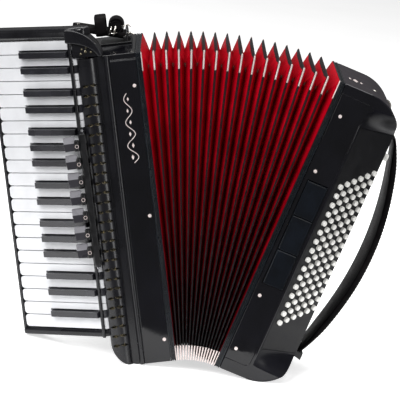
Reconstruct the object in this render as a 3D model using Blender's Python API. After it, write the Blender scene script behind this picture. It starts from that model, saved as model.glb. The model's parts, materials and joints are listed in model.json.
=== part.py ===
"""Piano accordion with 37 keys and 96 basses, standing with its bellows fanned open.

The treble half is modelled upright, with its bellows face on x = 0 and its front towards -Y.
The bass half has a frame of its own at the other end of the fan. An empty then leans the whole
instrument until both halves stand on the ground. Metres, +Z up.
"""

import math

import bmesh
import bpy
from mathutils import Matrix, Vector

# Cases
HEIGHT = 0.459
DEPTH = 0.190
WALL = 0.005
GAP = 0.0003
TREBLE_WIDTH = 0.092
TREBLE_CORNER = 0.040
BASS_WIDTH = 0.113
BASS_CORNER = 0.062
FRONT = -DEPTH / 2
BACK = DEPTH / 2
SKIN = 0.0035

# Keyboard
KEY_PITCH = 0.0195
WHITE_KEYS = 22
KEY_GAP = 0.0007
KEY_LENGTH = 0.135
KEY_THICKNESS = 0.014
KEY_TILT = math.radians(30)
KEY_RAIL = (-0.100, -0.090)
KEYS_BOTTOM = 0.0575
KEYS_TOP = KEYS_BOTTOM + WHITE_KEYS * KEY_PITCH
BLACK_WIDTH = 0.0102
BLACK_LENGTH = 0.088
BLACK_RISE = 0.009
BLACK_CLEARANCE = 0.0008
BLACK_SHIFT = {"C": -0.0025, "D": 0.0025, "F": -0.0035, "G": 0.0, "A": 0.0035}
NOTES = "GABCDEF"
ROD = (-0.010, -0.018)
ROD_RADIUS = 0.00125
CHEEK = 0.012
LIP_REACH = 0.007
HEAD_RIGHT = -0.054
HEAD_RADIUS = 0.040

# Vents and treble registers
VENT_ROWS = 28
VENT_TOP = 0.420
VENT_PITCH = 0.0143
TAB_COUNT = 7
TAB_PITCH = 0.0262
TAB_LOWEST = 0.176
TAB_SHAFT = (-0.0965, -0.1015)
TAB_SHAFT_RADIUS = 0.0018

# Bellows
FOLDS = 16
OPENING = math.radians(29.5)
FOLD_PITCH = 0.0035
FOLD_DEPTH = 0.024
LEAF = 0.003
FRAME_THICKNESS = 0.008
FRAME_WIDTH = 0.012
RIB_THICKNESS = 0.0024
RIB_FOLD = 8
HINGE_FOLDS = (4, 12)

# Bass side
BOARD_LOW = 0.050
BOARD_HIGH = 0.408
BOARD_INNER = (0.052, FRONT)
BOARD_OUTER = (BASS_WIDTH, -0.032)
BOARD_THICKNESS = 0.004
BUTTON_ROWS = 6
BUTTON_COLUMNS = 16
BUTTON_PITCH = 0.0147
BUTTON_ROW_ALONG = 0.0125
BUTTON_ROW_UP = 0.0061
BUTTON_FIRST = (0.0160, 0.0953)
BUTTON_RADIUS = 0.0039
BUTTON_PROUD = 0.0044
BUTTON_CLEARANCE = 0.0004
REGISTER_X = (0.0155, 0.0465)
REGISTER_Z = (0.143, 0.309)
REGISTER_COUNT = 3
AIR_BUTTON = (-0.020, 0.372)
AIR_BUTTON_RADIUS = 0.0055
STRAP_WIDTH = 0.060
STRAP_Y = 0.026
STRAP_THICKNESS = 0.004
STRAP_BOW = 0.036
WHEEL_RADIUS = 0.011
WHEEL_WIDTH = 0.008
WHEEL_DEPTH = 0.008

LACQUER = ("black_lacquer", (0.010, 0.010, 0.013), 0.12, 0.0)


def clear_scene():
    for thing in list(bpy.data.objects):
        bpy.data.objects.remove(thing)


def finish(look):
    name, colour, roughness, metallic = look
    material = bpy.data.materials.get(name)
    if material is None:
        material = bpy.data.materials.new(name)
        material.use_nodes = True
        shader = material.node_tree.nodes["Principled BSDF"]
        shader.inputs["Base Color"].default_value = (*colour, 1)
        shader.inputs["Roughness"].default_value = roughness
        shader.inputs["Metallic"].default_value = metallic
        material.diffuse_color = (*colour, 1)
    return material


def empty(name, parent, location=(0, 0, 0), turn=0.0):
    thing = bpy.data.objects.new(name, None)
    bpy.context.scene.collection.objects.link(thing)
    thing.parent = parent
    thing.location = location
    thing.rotation_euler = (0, turn, 0)
    return thing


def solid(name, bm, parent, look=LACQUER, origin=(0, 0, 0), round_angle=None):
    """Turns a bmesh in the parent's frame into an object whose origin is at the given point."""
    bmesh.ops.recalc_face_normals(bm, faces=bm.faces)
    bmesh.ops.translate(bm, verts=bm.verts, vec=-Vector(origin))
    mesh = bpy.data.meshes.new(name)
    bm.to_mesh(mesh)
    bm.free()
    mesh.materials.append(finish(look))
    thing = bpy.data.objects.new(name, mesh)
    bpy.context.scene.collection.objects.link(thing)
    thing.parent = parent
    thing.location = origin
    if round_angle:
        mesh.shade_smooth()
        mesh.set_sharp_from_angle(angle=math.radians(round_angle))
    return thing


def place(axis, along, flat):
    """A point from its distance along an axis and its two other coordinates in X, Y, Z order."""
    point = list(flat)
    point.insert("XYZ".index(axis), along)
    return point


def add_prism(bm, outline, axis, low, high):
    """Extrudes a closed outline, drawn across the axis, from low to high."""
    base = [bm.verts.new(place(axis, low, flat)) for flat in outline]
    face = bm.faces.new(base)
    grown = bmesh.ops.extrude_face_region(bm, geom=[face])
    top = [item for item in grown["geom"] if isinstance(item, bmesh.types.BMVert)]
    step = Vector(place(axis, high - low, (0, 0)))
    bmesh.ops.translate(bm, verts=top, vec=step)


def prism(outline, axis, low, high):
    bm = bmesh.new()
    add_prism(bm, outline, axis, low, high)
    return bm


def rectangle(low, high):
    return [(low[0], low[1]), (high[0], low[1]), (high[0], high[1]), (low[0], high[1])]


def block(low, high):
    return prism(rectangle(low[:2], high[:2]), "Z", low[2], high[2])


def arc(centre, radius, start, end, steps):
    """Points on an arc, from one angle to another in degrees."""
    points = []
    for i in range(steps + 1):
        angle = math.radians(start + (end - start) * i / steps)
        points.append((centre[0] + radius * math.cos(angle), centre[1] + radius * math.sin(angle)))
    return points


def disc(centre, radius, steps=12):
    return arc(centre, radius, 0, 360 * (steps - 1) / steps, steps - 1)


def helper(thing):
    thing.hide_render = True
    thing.display_type = "WIRE"
    return thing


def combine(target, tool, operation):
    """Adds a Boolean that reads a hidden helper, given as a bmesh in the target's parent frame."""
    other = helper(solid(f"{target.name}_tool", tool, target.parent))
    modifier = target.modifiers.new(operation.lower(), "BOOLEAN")
    modifier.operation = operation
    modifier.object = other
    return other


def cut(target, tool):
    return combine(target, tool, "DIFFERENCE")


def join(target, tool):
    return combine(target, tool, "UNION")


# The fan of the bellows


def fan(fold):
    """Bottom point and angle of a fold plane: fold 0 is the treble frame, fold 16 the bass frame."""
    step = OPENING / FOLDS
    x = z = 0.0
    for i in range(int(fold)):
        x += FOLD_PITCH * math.cos((i + 0.5) * step)
        z -= FOLD_PITCH * math.sin((i + 0.5) * step)
    left = fold - int(fold)
    x += left * FOLD_PITCH * math.cos((int(fold) + 0.5) * step)
    z -= left * FOLD_PITCH * math.sin((int(fold) + 0.5) * step)
    return Vector((x, 0, z)), fold * step


def fan_point(fold, shift, y, z):
    """A point given in a fold plane, with a shift across it, in the treble's frame."""
    bottom, angle = fan(fold)
    return bottom + Matrix.Rotation(angle, 3, "Y") @ Vector((shift, y, z))


def ring_points(fold, shift, inset):
    """The four corners of a rectangle of the bellows, drawn in from the outer size by inset."""
    low, high = inset, HEIGHT - inset
    half = DEPTH / 2 - inset
    corners = ((-half, low), (half, low), (half, high), (-half, high))
    return [fan_point(fold, shift, y, z) for y, z in corners]


def bellows_section(name, first, last, parent, origin):
    """Pleated tube from one fold plane to another, open at both ends."""
    planes = []
    count = int((last - first) * 2)
    for i in range(count + 1):
        fold = first + i / 2
        inset = FOLD_DEPTH if i % 2 else 0.0
        shift = 0.0
        if i == 0:
            shift = GAP if first == 0 else RIB_THICKNESS / 2 + GAP
        if i == count:
            shift = -GAP if last == FOLDS else -RIB_THICKNESS / 2 - GAP
        planes.append((fold, shift, inset))
    bm = bmesh.new()
    outer = [[bm.verts.new(p) for p in ring_points(f, s, i)] for f, s, i in planes]
    inner = [[bm.verts.new(p) for p in ring_points(f, s, i + LEAF)] for f, s, i in planes]
    for skin in (outer, inner):
        for ring, after in zip(skin, skin[1:]):
            for k in range(4):
                n = (k + 1) % 4
                bm.faces.new((ring[k], ring[n], after[n], after[k]))
    for end in (0, -1):
        for k in range(4):
            n = (k + 1) % 4
            bm.faces.new((outer[end][k], outer[end][n], inner[end][n], inner[end][k]))
    red_cloth = ("red_leaf_cloth", (0.42, 0.004, 0.010), 0.45, 0.0)
    return solid(name, bm, parent, red_cloth, origin)


def ring(name, parent, x_low, x_high, width, look, origin=(0, 0, 0), turn=0.0):
    """Rectangular frame of the bellows' outer size, between two X values of its own frame."""
    bm = block((x_low, FRONT, 0), (x_high, BACK, HEIGHT))
    thing = solid(name, bm, parent, look)
    hole = block((x_low - 1, FRONT + width, width), (x_high + 1, BACK - width, HEIGHT - width))
    tool = cut(thing, hole)
    for item in (thing, tool):
        item.location = origin
        item.rotation_euler = (0, turn, 0)
    return thing


# Treble side


def key_xy(along, out):
    """Plan position of a point on the keyboard: along the keys to the player, out of their tops."""
    x = KEY_RAIL[0] - along * math.cos(KEY_TILT) - out * math.sin(KEY_TILT)
    y = KEY_RAIL[1] + along * math.sin(KEY_TILT) - out * math.cos(KEY_TILT)
    return x, y


def key_outline(points):
    return [key_xy(along, out) for along, out in points]


def treble_outline(inset=0.0, open_side=0.0):
    """Front outline of the treble case, with its lower outer corner rounded."""
    right = -FRAME_THICKNESS - GAP + open_side
    left, low, high = -TREBLE_WIDTH + inset, inset, HEIGHT - inset
    radius = TREBLE_CORNER - inset
    corner = arc((left + radius, low + radius), radius, 180, 270, 6)
    return [(right, high), (left, high), *corner, (right, low)]


def treble_case(parent):
    skin_plane = FRONT + SKIN + GAP
    case = solid("treble_case", prism(treble_outline(), "Y", skin_plane, BACK), parent)
    cut(case, prism(treble_outline(WALL, 0.02), "Y", FRONT - 0.02, BACK - WALL))
    cut(case, block((-0.12, -0.12, KEYS_BOTTOM - CHEEK - 0.001), (-0.066, -0.0575, HEIGHT + 0.02)))
    return case


def cover_profile():
    """Plan section of the cover: a half-round vent strip, a groove, a raised line and a flat."""
    strip = arc((-0.0755, FRONT + SKIN), 0.0125, 180, 345, 10)
    outer = [(x, FRONT + SKIN + (y - FRONT - SKIN) * 0.95) for x, y in strip]
    outer += [(-0.0585, FRONT + 0.0015), (-0.0565, FRONT - 0.0025), (-0.0535, FRONT - 0.003)]
    outer += [(-0.0515, FRONT), (-FRAME_THICKNESS - GAP, FRONT)]
    inner = [(-FRAME_THICKNESS - GAP, FRONT + SKIN), (-0.0610, FRONT + SKIN)]
    inside = arc((-0.0755, FRONT + SKIN), 0.0098, 0, -180, 8)
    inner += [(x, FRONT + SKIN + (y - FRONT - SKIN) * 0.95) for x, y in inside]
    return outer + inner


def treble_cover(parent):
    bm = prism(cover_profile(), "Z", GAP, HEIGHT - GAP)
    cover = solid("treble_cover", bm, parent, LACQUER, round_angle=35)
    shape = treble_outline()
    shape[-1] = (0, 0)
    shape[0] = (0, HEIGHT)
    combine(cover, prism(shape, "Y", FRONT - 0.05, BACK), "INTERSECT")
    slots = bmesh.new()
    for row in range(VENT_ROWS):
        z = VENT_TOP - row * VENT_PITCH
        slot = rectangle((-0.0825, z - 0.0014), (-0.0685, z + 0.0014))
        add_prism(slots, slot, "Y", FRONT - 0.05, FRONT + 0.01)
    cut(cover, slots)
    return cover


def keyboard_frame(parent):
    """Bed, front lip, end cheeks, rail across the keys and the raised head over the case."""
    low, high = KEYS_BOTTOM - CHEEK, KEYS_TOP + CHEEK
    front = KEY_LENGTH + LIP_REACH
    bed = [(front, -0.030), (front, -0.001), (front - 0.005, -0.001), (front - 0.005, -0.022)]
    bed += [(-0.001, -0.022), (-0.001, -0.030)]
    frame = solid("keyboard_frame", prism(key_outline(bed), "Z", low, high), parent)
    cheek = [(front, -0.030), (front, 0.003), (-0.001, 0.003), (-0.001, -0.010)]
    cheek += [(-0.020, -0.010), (-0.020, -0.030)]
    for start in (low, KEYS_TOP + 0.0015):
        join(frame, prism(key_outline(cheek), "Z", start, start + CHEEK - 0.0015))
    rail = [(0.001, 0.0014), (0.001, 0.0040), (-0.002, 0.0040), (-0.002, 0.0014)]
    join(frame, prism(key_outline(rail), "Z", low, high))
    join(frame, head(parent))
    for z in (TAB_LOWEST - TAB_PITCH * 0.75, TAB_LOWEST + TAB_PITCH * (TAB_COUNT - 0.25)):
        join(frame, tab_bracket(z))
    rod_hole = prism(disc(key_xy(*ROD), ROD_RADIUS + 0.0003), "Z", low - 0.01, high + 0.02)
    cut(frame, rod_hole)
    shaft_hole = prism(disc(TAB_SHAFT, TAB_SHAFT_RADIUS + 0.0003), "Z", 0.10, 0.40)
    cut(frame, shaft_hole)
    combine(frame, prism(frame_silhouette(), "Y", -0.2, 0.1), "INTERSECT")
    return frame


def frame_silhouette():
    """Front outline of the whole keyboard frame, with its corners rounded."""
    low, high = KEYS_BOTTOM - CHEEK, KEYS_TOP + CHEEK
    left = key_xy(KEY_LENGTH + LIP_REACH, 0.003)[0] - 0.0005
    small = 0.010
    outline = arc((left + small, low + small), small, 180, 270, 4)
    outline += [(HEAD_RIGHT, low)]
    outline += arc((HEAD_RIGHT - HEAD_RADIUS, high - HEAD_RADIUS), HEAD_RADIUS, 0, 90, 10)
    outline += arc((left + small, high - small), small, 90, 180, 4)
    return outline


def head(parent):
    """Hood over the tails of the topmost keys, open at the front and below."""
    left = -0.105
    hood = block((left, FRONT + 0.002, HEIGHT + GAP), (HEAD_RIGHT, -0.052, KEYS_TOP + CHEEK))
    inside_low = (left - 0.01, FRONT - 0.02, HEIGHT - 0.02)
    inside_high = (HEAD_RIGHT - SKIN, -0.052 - SKIN, KEYS_TOP + 0.0015)
    shell = helper(solid("keyboard_head_shell", hood, parent))
    cut(shell, block(inside_low, inside_high))
    graph = bpy.context.evaluated_depsgraph_get()
    bm = bmesh.new()
    bm.from_object(shell, graph)
    return bm


def tab_bracket(z):
    """Ear that rises from the rail and carries the shaft of the register tabs."""
    base = key_xy(-0.002, 0.0016)
    start = key_xy(0.001, 0.0016)
    x, y = TAB_SHAFT
    outline = [start, base, (x + 0.0035, y), *arc((x, y), 0.0035, 0, -180, 6)]
    return prism(outline, "Z", z - 0.002, z + 0.002)


def key_rod(parent):
    low, high = KEYS_BOTTOM - CHEEK + 0.001, KEYS_TOP + CHEEK - 0.006
    steel = ("steel_rod", (0.55, 0.55, 0.56), 0.25, 1.0)
    bm = prism(disc(key_xy(*ROD), ROD_RADIUS), "Z", low, high)
    return solid("key_rod", bm, parent, steel, round_angle=40)


def note_of(white):
    return NOTES[white % len(NOTES)]


def black_centres():
    """Height of each black key, by the white key above it."""
    centres = {}
    for white in range(WHITE_KEYS - 1):
        if note_of(white) in BLACK_SHIFT:
            boundary = KEYS_TOP - (white + 1) * KEY_PITCH
            centres[white] = boundary - BLACK_SHIFT[note_of(white)]
    return centres


def tail_outline(reach):
    """Side section of a key's tail, hooked over the rod, up to a distance along the key."""
    along, out = ROD
    grip = ROD_RADIUS + 0.0004
    hook = arc((along, out), grip, 180, 0, 6)
    points = [(reach, 0.0), (-0.004, -0.0006), (-0.0085, -0.005), (-0.0125, -0.012)]
    points += [(-0.0150, -0.0225), (along - grip, -0.0225), *hook]
    points += [(along + grip, -0.0225), (-0.002, -0.0225), (-0.002, -KEY_THICKNESS)]
    points += [(reach, -KEY_THICKNESS)]
    return points


def white_key(index, centres, parent):
    """Key with a full front part and a tail that fits between the black keys beside it."""
    top = KEYS_TOP - index * KEY_PITCH - KEY_GAP / 2
    bottom = top - KEY_PITCH + KEY_GAP
    tail_top, tail_bottom = top, bottom
    margin = BLACK_WIDTH / 2 + BLACK_CLEARANCE
    if index - 1 in centres:
        tail_top = centres[index - 1] - margin
    if index in centres:
        tail_bottom = centres[index] + margin
    bm = prism(key_outline(tail_outline(BLACK_LENGTH + 0.004)), "Z", tail_bottom, tail_top)
    origin = (*key_xy(*ROD), (top + bottom) / 2)
    white = ("ivory_white_celluloid", (0.87, 0.88, 0.90), 0.2, 0.0)
    key = solid(f"white_key_{index + 1:02d}", bm, parent, white, origin)
    heel = BLACK_LENGTH + 0.001
    nose = KEY_LENGTH
    face = [(heel, 0.0), (nose - 0.0015, 0.0), (nose, -0.0015), (nose, -KEY_THICKNESS)]
    face += [(heel, -KEY_THICKNESS)]
    join(key, prism(key_outline(face), "Z", bottom, top))
    return key


def black_key(number, centre, parent):
    """Raised key that slopes at its front and drops to the whites' level under the rail."""
    tail = tail_outline(0.004)
    raised = [(0.004, BLACK_RISE), (BLACK_LENGTH - 0.005, BLACK_RISE)]
    raised += [(BLACK_LENGTH - 0.001, BLACK_RISE - 0.002), (BLACK_LENGTH, -KEY_THICKNESS)]
    outline = [*raised, tail[-2], *reversed(tail[1:-2]), (0.004, 0.0)]
    low, high = centre - BLACK_WIDTH / 2, centre + BLACK_WIDTH / 2
    black = ("black_celluloid", (0.012, 0.012, 0.014), 0.25, 0.0)
    bm = prism(key_outline(outline), "Z", low, high)
    origin = (*key_xy(*ROD), centre)
    return solid(f"black_key_{number + 1:02d}", bm, parent, black, origin)


def treble_registers(parent):
    """Seven rocker tabs on one shaft."""
    x, y = TAB_SHAFT
    low = TAB_LOWEST - TAB_PITCH * 0.75 - 0.005
    high = TAB_LOWEST + TAB_PITCH * (TAB_COUNT - 0.25) + 0.005
    grey = ("grey_pearl_plastic", (0.21, 0.21, 0.23), 0.3, 0.0)
    bm = prism(disc(TAB_SHAFT, TAB_SHAFT_RADIUS), "Z", low, high)
    tabs = solid("treble_registers", bm, parent, grey, (x, y, (low + high) / 2))
    section = [(x + 0.0045, y - 0.002), (x + 0.0045, y + 0.0025), (x - 0.021, y + 0.0045)]
    section += [(x - 0.021, y + 0.0015), (x - 0.009, y - 0.0045), (x + 0.002, y - 0.0045)]
    shapes = bmesh.new()
    for i in range(TAB_COUNT):
        z = TAB_LOWEST + i * TAB_PITCH
        add_prism(shapes, section, "Z", z - 0.0105, z + 0.0105)
    join(tabs, shapes)
    return tabs


def treble_soundboard(parent):
    """Board across the case, with an air hole for each group of reeds."""
    pine = ("pine_board", (0.55, 0.38, 0.20), 0.6, 0.0)
    inside = WALL + GAP
    low = (-0.050, FRONT + SKIN + 0.004, inside)
    high = (-0.046, BACK - inside, HEIGHT - inside)
    board = solid("treble_soundboard", block(low, high), parent, pine)
    holes = bmesh.new()
    for row in range(8):
        for y in (-0.045, 0.0, 0.045):
            z = 0.05 + row * 0.050
            add_prism(holes, rectangle((y - 0.006, z), (y + 0.006, z + 0.030)), "X", -0.06, -0.04)
    cut(board, holes)
    return board


def reed_block(name, parent, x_low, x_high, rows, low, high):
    """Wooden bars that stand on a base plate, with one cell row along each bar."""
    maple = ("maple_block", (0.62, 0.45, 0.27), 0.55, 0.0)
    base = 0.003
    span = rows[-1] - rows[0]
    near, far = rows[0] - 0.012, rows[0] + span + 0.012
    thing = solid(name, block((x_low, near, low), (x_low + base, far, high)), parent, maple)
    bars = bmesh.new()
    for y in rows:
        section = [(x_low + base / 2, y - 0.010), (x_low + base / 2, y + 0.010)]
        section += [(x_high, y + 0.004), (x_high, y - 0.004)]
        add_prism(bars, section, "Z", low + 0.004, high - 0.004)
    join(thing, bars)
    cells = bmesh.new()
    for y in rows:
        for i in range(6):
            z = low + 0.03 + i * (high - low - 0.06) / 5
            cell = rectangle((y - 0.0055, z - 0.012), (y + 0.0055, z + 0.012))
            add_prism(cells, cell, "X", x_low - 0.002, x_low + 0.014)
    cut(thing, cells)
    return thing


def shoulder_strap(parent):
    """Folded leather end of a shoulder strap, lying on top of the treble case."""
    leather = ("black_leather", (0.012, 0.011, 0.012), 0.5, 0.0)
    base = HEIGHT + 0.0045
    tongue = [(-0.022, base), (-0.060, base), (-0.090, base + 0.022), (-0.100, base + 0.024)]
    tongue += [(-0.100, base + 0.029), (-0.089, base + 0.027), (-0.058, base + 0.006)]
    tongue += [(-0.022, base + 0.006)]
    strap = solid("shoulder_strap", prism(tongue, "Y", 0.012, 0.048), parent, leather)
    roll = disc((-0.040, base + 0.016), 0.014, 14)
    join(strap, prism(roll, "Y", 0.014, 0.046))
    loop = rectangle((-0.070, base + 0.004), (-0.052, base + 0.038))
    join(strap, prism(loop, "Y", 0.010, 0.050))
    return strap


def strap_bracket(parent):
    """Black steel loop on the case top that the shoulder strap passes through."""
    black_steel = ("black_steel", (0.03, 0.03, 0.03), 0.35, 0.9)
    low = HEIGHT + GAP
    bm = block((-0.060, 0.004, low), (-0.014, 0.056, low + 0.0025))
    bracket = solid("strap_bracket", bm, parent, black_steel)
    bow = [(0.006, low + 0.001), (0.006, low + 0.040), (0.054, low + 0.040), (0.054, low + 0.001)]
    bow += [(0.0515, low + 0.001), (0.0515, low + 0.0375), (0.0085, low + 0.0375)]
    bow += [(0.0085, low + 0.001)]
    join(bracket, prism(bow, "X", -0.022, -0.018))
    return bracket


# Bass side


def bass_outline(inset=0.0, open_side=0.0):
    """Front outline of the bass case, with both outer corners rounded."""
    left = FRAME_THICKNESS + GAP - open_side
    right, low, high = BASS_WIDTH - inset, inset, HEIGHT - inset
    radius = BASS_CORNER - inset
    outline = [(left, low)]
    outline += arc((right - radius, low + radius), radius, 270, 360, 10)
    outline += arc((right - radius, high - radius), radius, 0, 90, 10)
    return outline + [(left, high)]


def board_frame():
    """Unit vector along the slanted board, outwards from the bellows, and its outward normal."""
    along = Vector(BOARD_OUTER) - Vector(BOARD_INNER)
    width = along.length
    along.normalize()
    return along, Vector((along.y, -along.x)), width


def board_xy(along, out):
    direction, normal, _ = board_frame()
    return tuple(Vector(BOARD_INNER) + direction * along + normal * out)


def bass_case(parent):
    case = solid("bass_case", prism(bass_outline(), "Y", FRONT, BACK), parent, LACQUER)
    width = board_frame()[2]
    seat = -BOARD_THICKNESS - GAP
    inner = board_xy(-0.0005, seat)
    recess = [inner, board_xy(width + 0.05, seat), (0.2, -0.2), (inner[0], -0.2)]
    cut(case, prism(recess, "Z", BOARD_LOW, BOARD_HIGH))
    cut(case, bass_cavity(case, parent))
    window = [board_xy(0.006, 0.02), board_xy(width - 0.004, 0.02)]
    window += [board_xy(width - 0.004, -0.02), board_xy(0.006, -0.02)]
    cut(case, prism(window, "Z", BOARD_LOW + 0.008, BOARD_HIGH - 0.008))
    edge = 0.0006
    low = (REGISTER_X[0] - edge, FRONT - 0.01, REGISTER_Z[0] - edge)
    high = (REGISTER_X[1] + edge, FRONT + 0.02, REGISTER_Z[1] + edge)
    cut(case, block(low, high))
    air_hole = prism(disc(AIR_BUTTON, AIR_BUTTON_RADIUS + 0.0005), "X", 0.09, 0.13)
    cut(case, air_hole)
    wheel_pocket(case)
    return case


def bass_cavity(case, parent):
    """Inside of the bass case: its front outline drawn in, cut back behind the slanted board."""
    inside = solid(f"{case.name}_inside", cavity_plan(), parent)
    helper(inside)
    outline = bass_outline(WALL, 0.02)
    combine(inside, prism(outline, "Y", FRONT - 0.01, BACK + 0.01), "INTERSECT")
    bm = bmesh.new()
    bm.from_object(inside, bpy.context.evaluated_depsgraph_get())
    return bm


def cavity_plan():
    seat = -BOARD_THICKNESS - GAP - SKIN
    width = board_frame()[2]
    slant_low = board_xy(0.0, seat)
    slant_high = board_xy(width, seat)
    slope = (slant_high[1] - slant_low[1]) / (slant_high[0] - slant_low[0])
    right = BASS_WIDTH - WALL
    start_y = FRONT + WALL
    start_x = slant_low[0] + (start_y - slant_low[1]) / slope
    end_y = slant_low[1] + (right - slant_low[0]) * slope
    left = -0.02
    plan = [(left, start_y), (start_x, start_y), (right, end_y), (right, BACK - WALL)]
    return prism([*plan, (left, BACK - WALL)], "Z", 0.0, HEIGHT)


def wheel_centre():
    """Centre of the strap wheel, under the rounded upper corner."""
    corner = Vector((BASS_WIDTH - BASS_CORNER, HEIGHT - BASS_CORNER))
    return corner + Vector((1, 1)).normalized() * (BASS_CORNER - WHEEL_DEPTH)


def wheel_pocket(case):
    """Block inside the corner, with a slot for the wheel and the pin that it turns on."""
    centre = wheel_centre()
    inward = Vector((-1, -1)).normalized()
    across = Vector((-inward.y, inward.x))
    near = WHEEL_DEPTH - WALL / 2
    corners = [(near * -1, 0.016), (near * -1, -0.016), (0.016, -0.016), (0.016, 0.016)]
    outline = [tuple(centre + inward * a + across * b) for a, b in corners]
    join(case, prism(outline, "Y", STRAP_Y - 0.009, STRAP_Y + 0.009))
    half = WHEEL_WIDTH / 2 + 0.0006
    pocket = prism(disc(centre, WHEEL_RADIUS + 0.0012, 20), "Y", STRAP_Y - half, STRAP_Y + half)
    cut(case, pocket)
    join(case, prism(disc(centre, 0.0018, 10), "Y", STRAP_Y - half - 0.001, STRAP_Y + half + 0.001))


def strap_wheel(parent):
    """Ribbed wheel that tightens the hand strap."""
    centre = wheel_centre()
    rim = []
    teeth = 20
    for i in range(teeth):
        for radius, part in ((WHEEL_RADIUS, 0.0), (WHEEL_RADIUS - 0.0008, 0.5)):
            angle = math.tau * (i + part) / teeth
            rim.append((centre[0] + radius * math.cos(angle), centre[1] + radius * math.sin(angle)))
    steel = ("nickel_steel", (0.55, 0.55, 0.57), 0.25, 1.0)
    low, high = STRAP_Y - WHEEL_WIDTH / 2, STRAP_Y + WHEEL_WIDTH / 2
    origin = (centre[0], STRAP_Y, centre[1])
    wheel = solid("strap_wheel", prism(rim, "Y", low, high), parent, steel, origin)
    cut(wheel, prism(disc(centre, 0.0021, 10), "Y", low - 0.01, high + 0.01))
    return wheel


def button_places():
    """Distance along the board and height of every button."""
    for column in range(BUTTON_COLUMNS):
        for row in range(BUTTON_ROWS):
            along = BUTTON_FIRST[0] + row * BUTTON_ROW_ALONG
            z = BUTTON_FIRST[1] + column * BUTTON_PITCH + row * BUTTON_ROW_UP
            yield along, z


def board_point(along, out, z):
    x, y = board_xy(along, out)
    return Vector((x, y, z))


def add_stud(bm, along, z, radius, levels, sides=6):
    """Closed round stud on the board: levels give (out, share of the radius) from inside out."""
    rings = []
    for out, share in levels:
        loop = []
        for k in range(sides):
            angle = math.tau * (k + 0.5) / sides
            shift = radius * share * math.cos(angle)
            rise = radius * share * math.sin(angle)
            loop.append(bm.verts.new(board_point(along + shift, out, z + rise)))
        rings.append(loop)
    for ring_a, ring_b in zip(rings, rings[1:]):
        for k in range(sides):
            n = (k + 1) % sides
            bm.faces.new((ring_a[k], ring_a[n], ring_b[n], ring_b[k]))
    bm.faces.new(rings[0])
    bm.faces.new(rings[-1])


def bass_board(parent):
    """Slanted board with a hole for every button."""
    width = board_frame()[2]
    plate = [board_xy(0.0, 0.0), board_xy(width - 0.001, 0.0)]
    plate += [board_xy(width - 0.001, -BOARD_THICKNESS), board_xy(0.0, -BOARD_THICKNESS)]
    low, high = BOARD_LOW + GAP, BOARD_HIGH - GAP
    satin = ("satin_black_board", (0.012, 0.012, 0.014), 0.35, 0.0)
    board = solid("bass_board", prism(plate, "Z", low, high), parent, satin)
    holes = bmesh.new()
    for along, z in button_places():
        levels = ((-0.012, 1.0), (0.006, 1.0))
        add_stud(holes, along, z, BUTTON_RADIUS + BUTTON_CLEARANCE, levels)
    cut(board, holes)
    return board


def bass_buttons(parent):
    """All 96 buttons, on the plate behind the board that stands in for their levers."""
    plate_out = -BOARD_THICKNESS - 0.0085
    first = min(z for _, z in button_places()) - 0.008
    last = max(z for _, z in button_places()) + 0.008
    reach = BUTTON_FIRST[0] + (BUTTON_ROWS - 1) * BUTTON_ROW_ALONG
    outline = [board_xy(0.010, plate_out), board_xy(reach + 0.005, plate_out)]
    outline += [board_xy(reach + 0.005, plate_out - 0.0015), board_xy(0.010, plate_out - 0.0015)]
    white = ("white_button_plastic", (0.84, 0.84, 0.83), 0.25, 0.0)
    bm = prism(outline, "Z", first, last)
    buttons = solid("bass_buttons", bm, parent, white)
    studs = bmesh.new()
    dome = BUTTON_PROUD - 0.0016
    for along, z in button_places():
        levels = ((plate_out - 0.0008, 1.0), (dome, 1.0), (BUTTON_PROUD, 0.6))
        add_stud(studs, along, z, BUTTON_RADIUS, levels)
    join(buttons, studs)
    return buttons


def bass_registers(parent):
    """Three flat register switches in a window of the front wall, on one bar."""
    satin = ("gloss_black_switch", (0.010, 0.010, 0.012), 0.15, 0.0)
    low = (REGISTER_X[0] + 0.006, FRONT + 0.0035, REGISTER_Z[0] + 0.004)
    high = (REGISTER_X[1] - 0.006, FRONT + 0.0075, REGISTER_Z[1] - 0.004)
    switches = solid("bass_registers", block(low, high), parent, satin)
    pitch = (REGISTER_Z[1] - REGISTER_Z[0]) / REGISTER_COUNT
    plates = bmesh.new()
    for i in range(REGISTER_COUNT):
        z = REGISTER_Z[0] + i * pitch
        face = rectangle((REGISTER_X[0], z + 0.0005), (REGISTER_X[1], z + pitch - 0.0005))
        add_prism(plates, face, "Y", FRONT - 0.0008, FRONT + 0.0045)
    join(switches, plates)
    return switches


def air_button(parent):
    """Push button of the air valve, through the outer wall."""
    white = ("white_button_plastic", (0.84, 0.84, 0.83), 0.25, 0.0)
    start, end = BASS_WIDTH - WALL - 0.003, BASS_WIDTH + 0.007
    bm = prism(disc(AIR_BUTTON, AIR_BUTTON_RADIUS), "X", start, end)
    origin = (BASS_WIDTH, AIR_BUTTON[0], AIR_BUTTON[1])
    button = solid("air_button", bm, parent, white, origin, round_angle=40)
    join(button, prism(disc(AIR_BUTTON, AIR_BUTTON_RADIUS + 0.0015), "X", start, start + 0.002))
    return button


def strap_path(share):
    """Middle line of the hand strap, from its lower clamp to the slot by the wheel."""
    z = 0.0475 + share * 0.352
    x = BASS_WIDTH + 0.0065 + STRAP_BOW * math.sin(math.pi * share) ** 0.8
    return x, z


def bass_strap(parent):
    leather = ("black_leather", (0.012, 0.011, 0.012), 0.5, 0.0)
    steps = 20
    middle = [strap_path(i / steps) for i in range(steps + 1)]
    outline_out = [(x + STRAP_THICKNESS / 2, z) for x, z in middle]
    outline_in = [(x - STRAP_THICKNESS / 2, z) for x, z in reversed(middle)]
    low, high = STRAP_Y - STRAP_WIDTH / 2, STRAP_Y + STRAP_WIDTH / 2
    return solid("bass_strap", prism(outline_out + outline_in, "Y", low, high), parent, leather)


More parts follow.
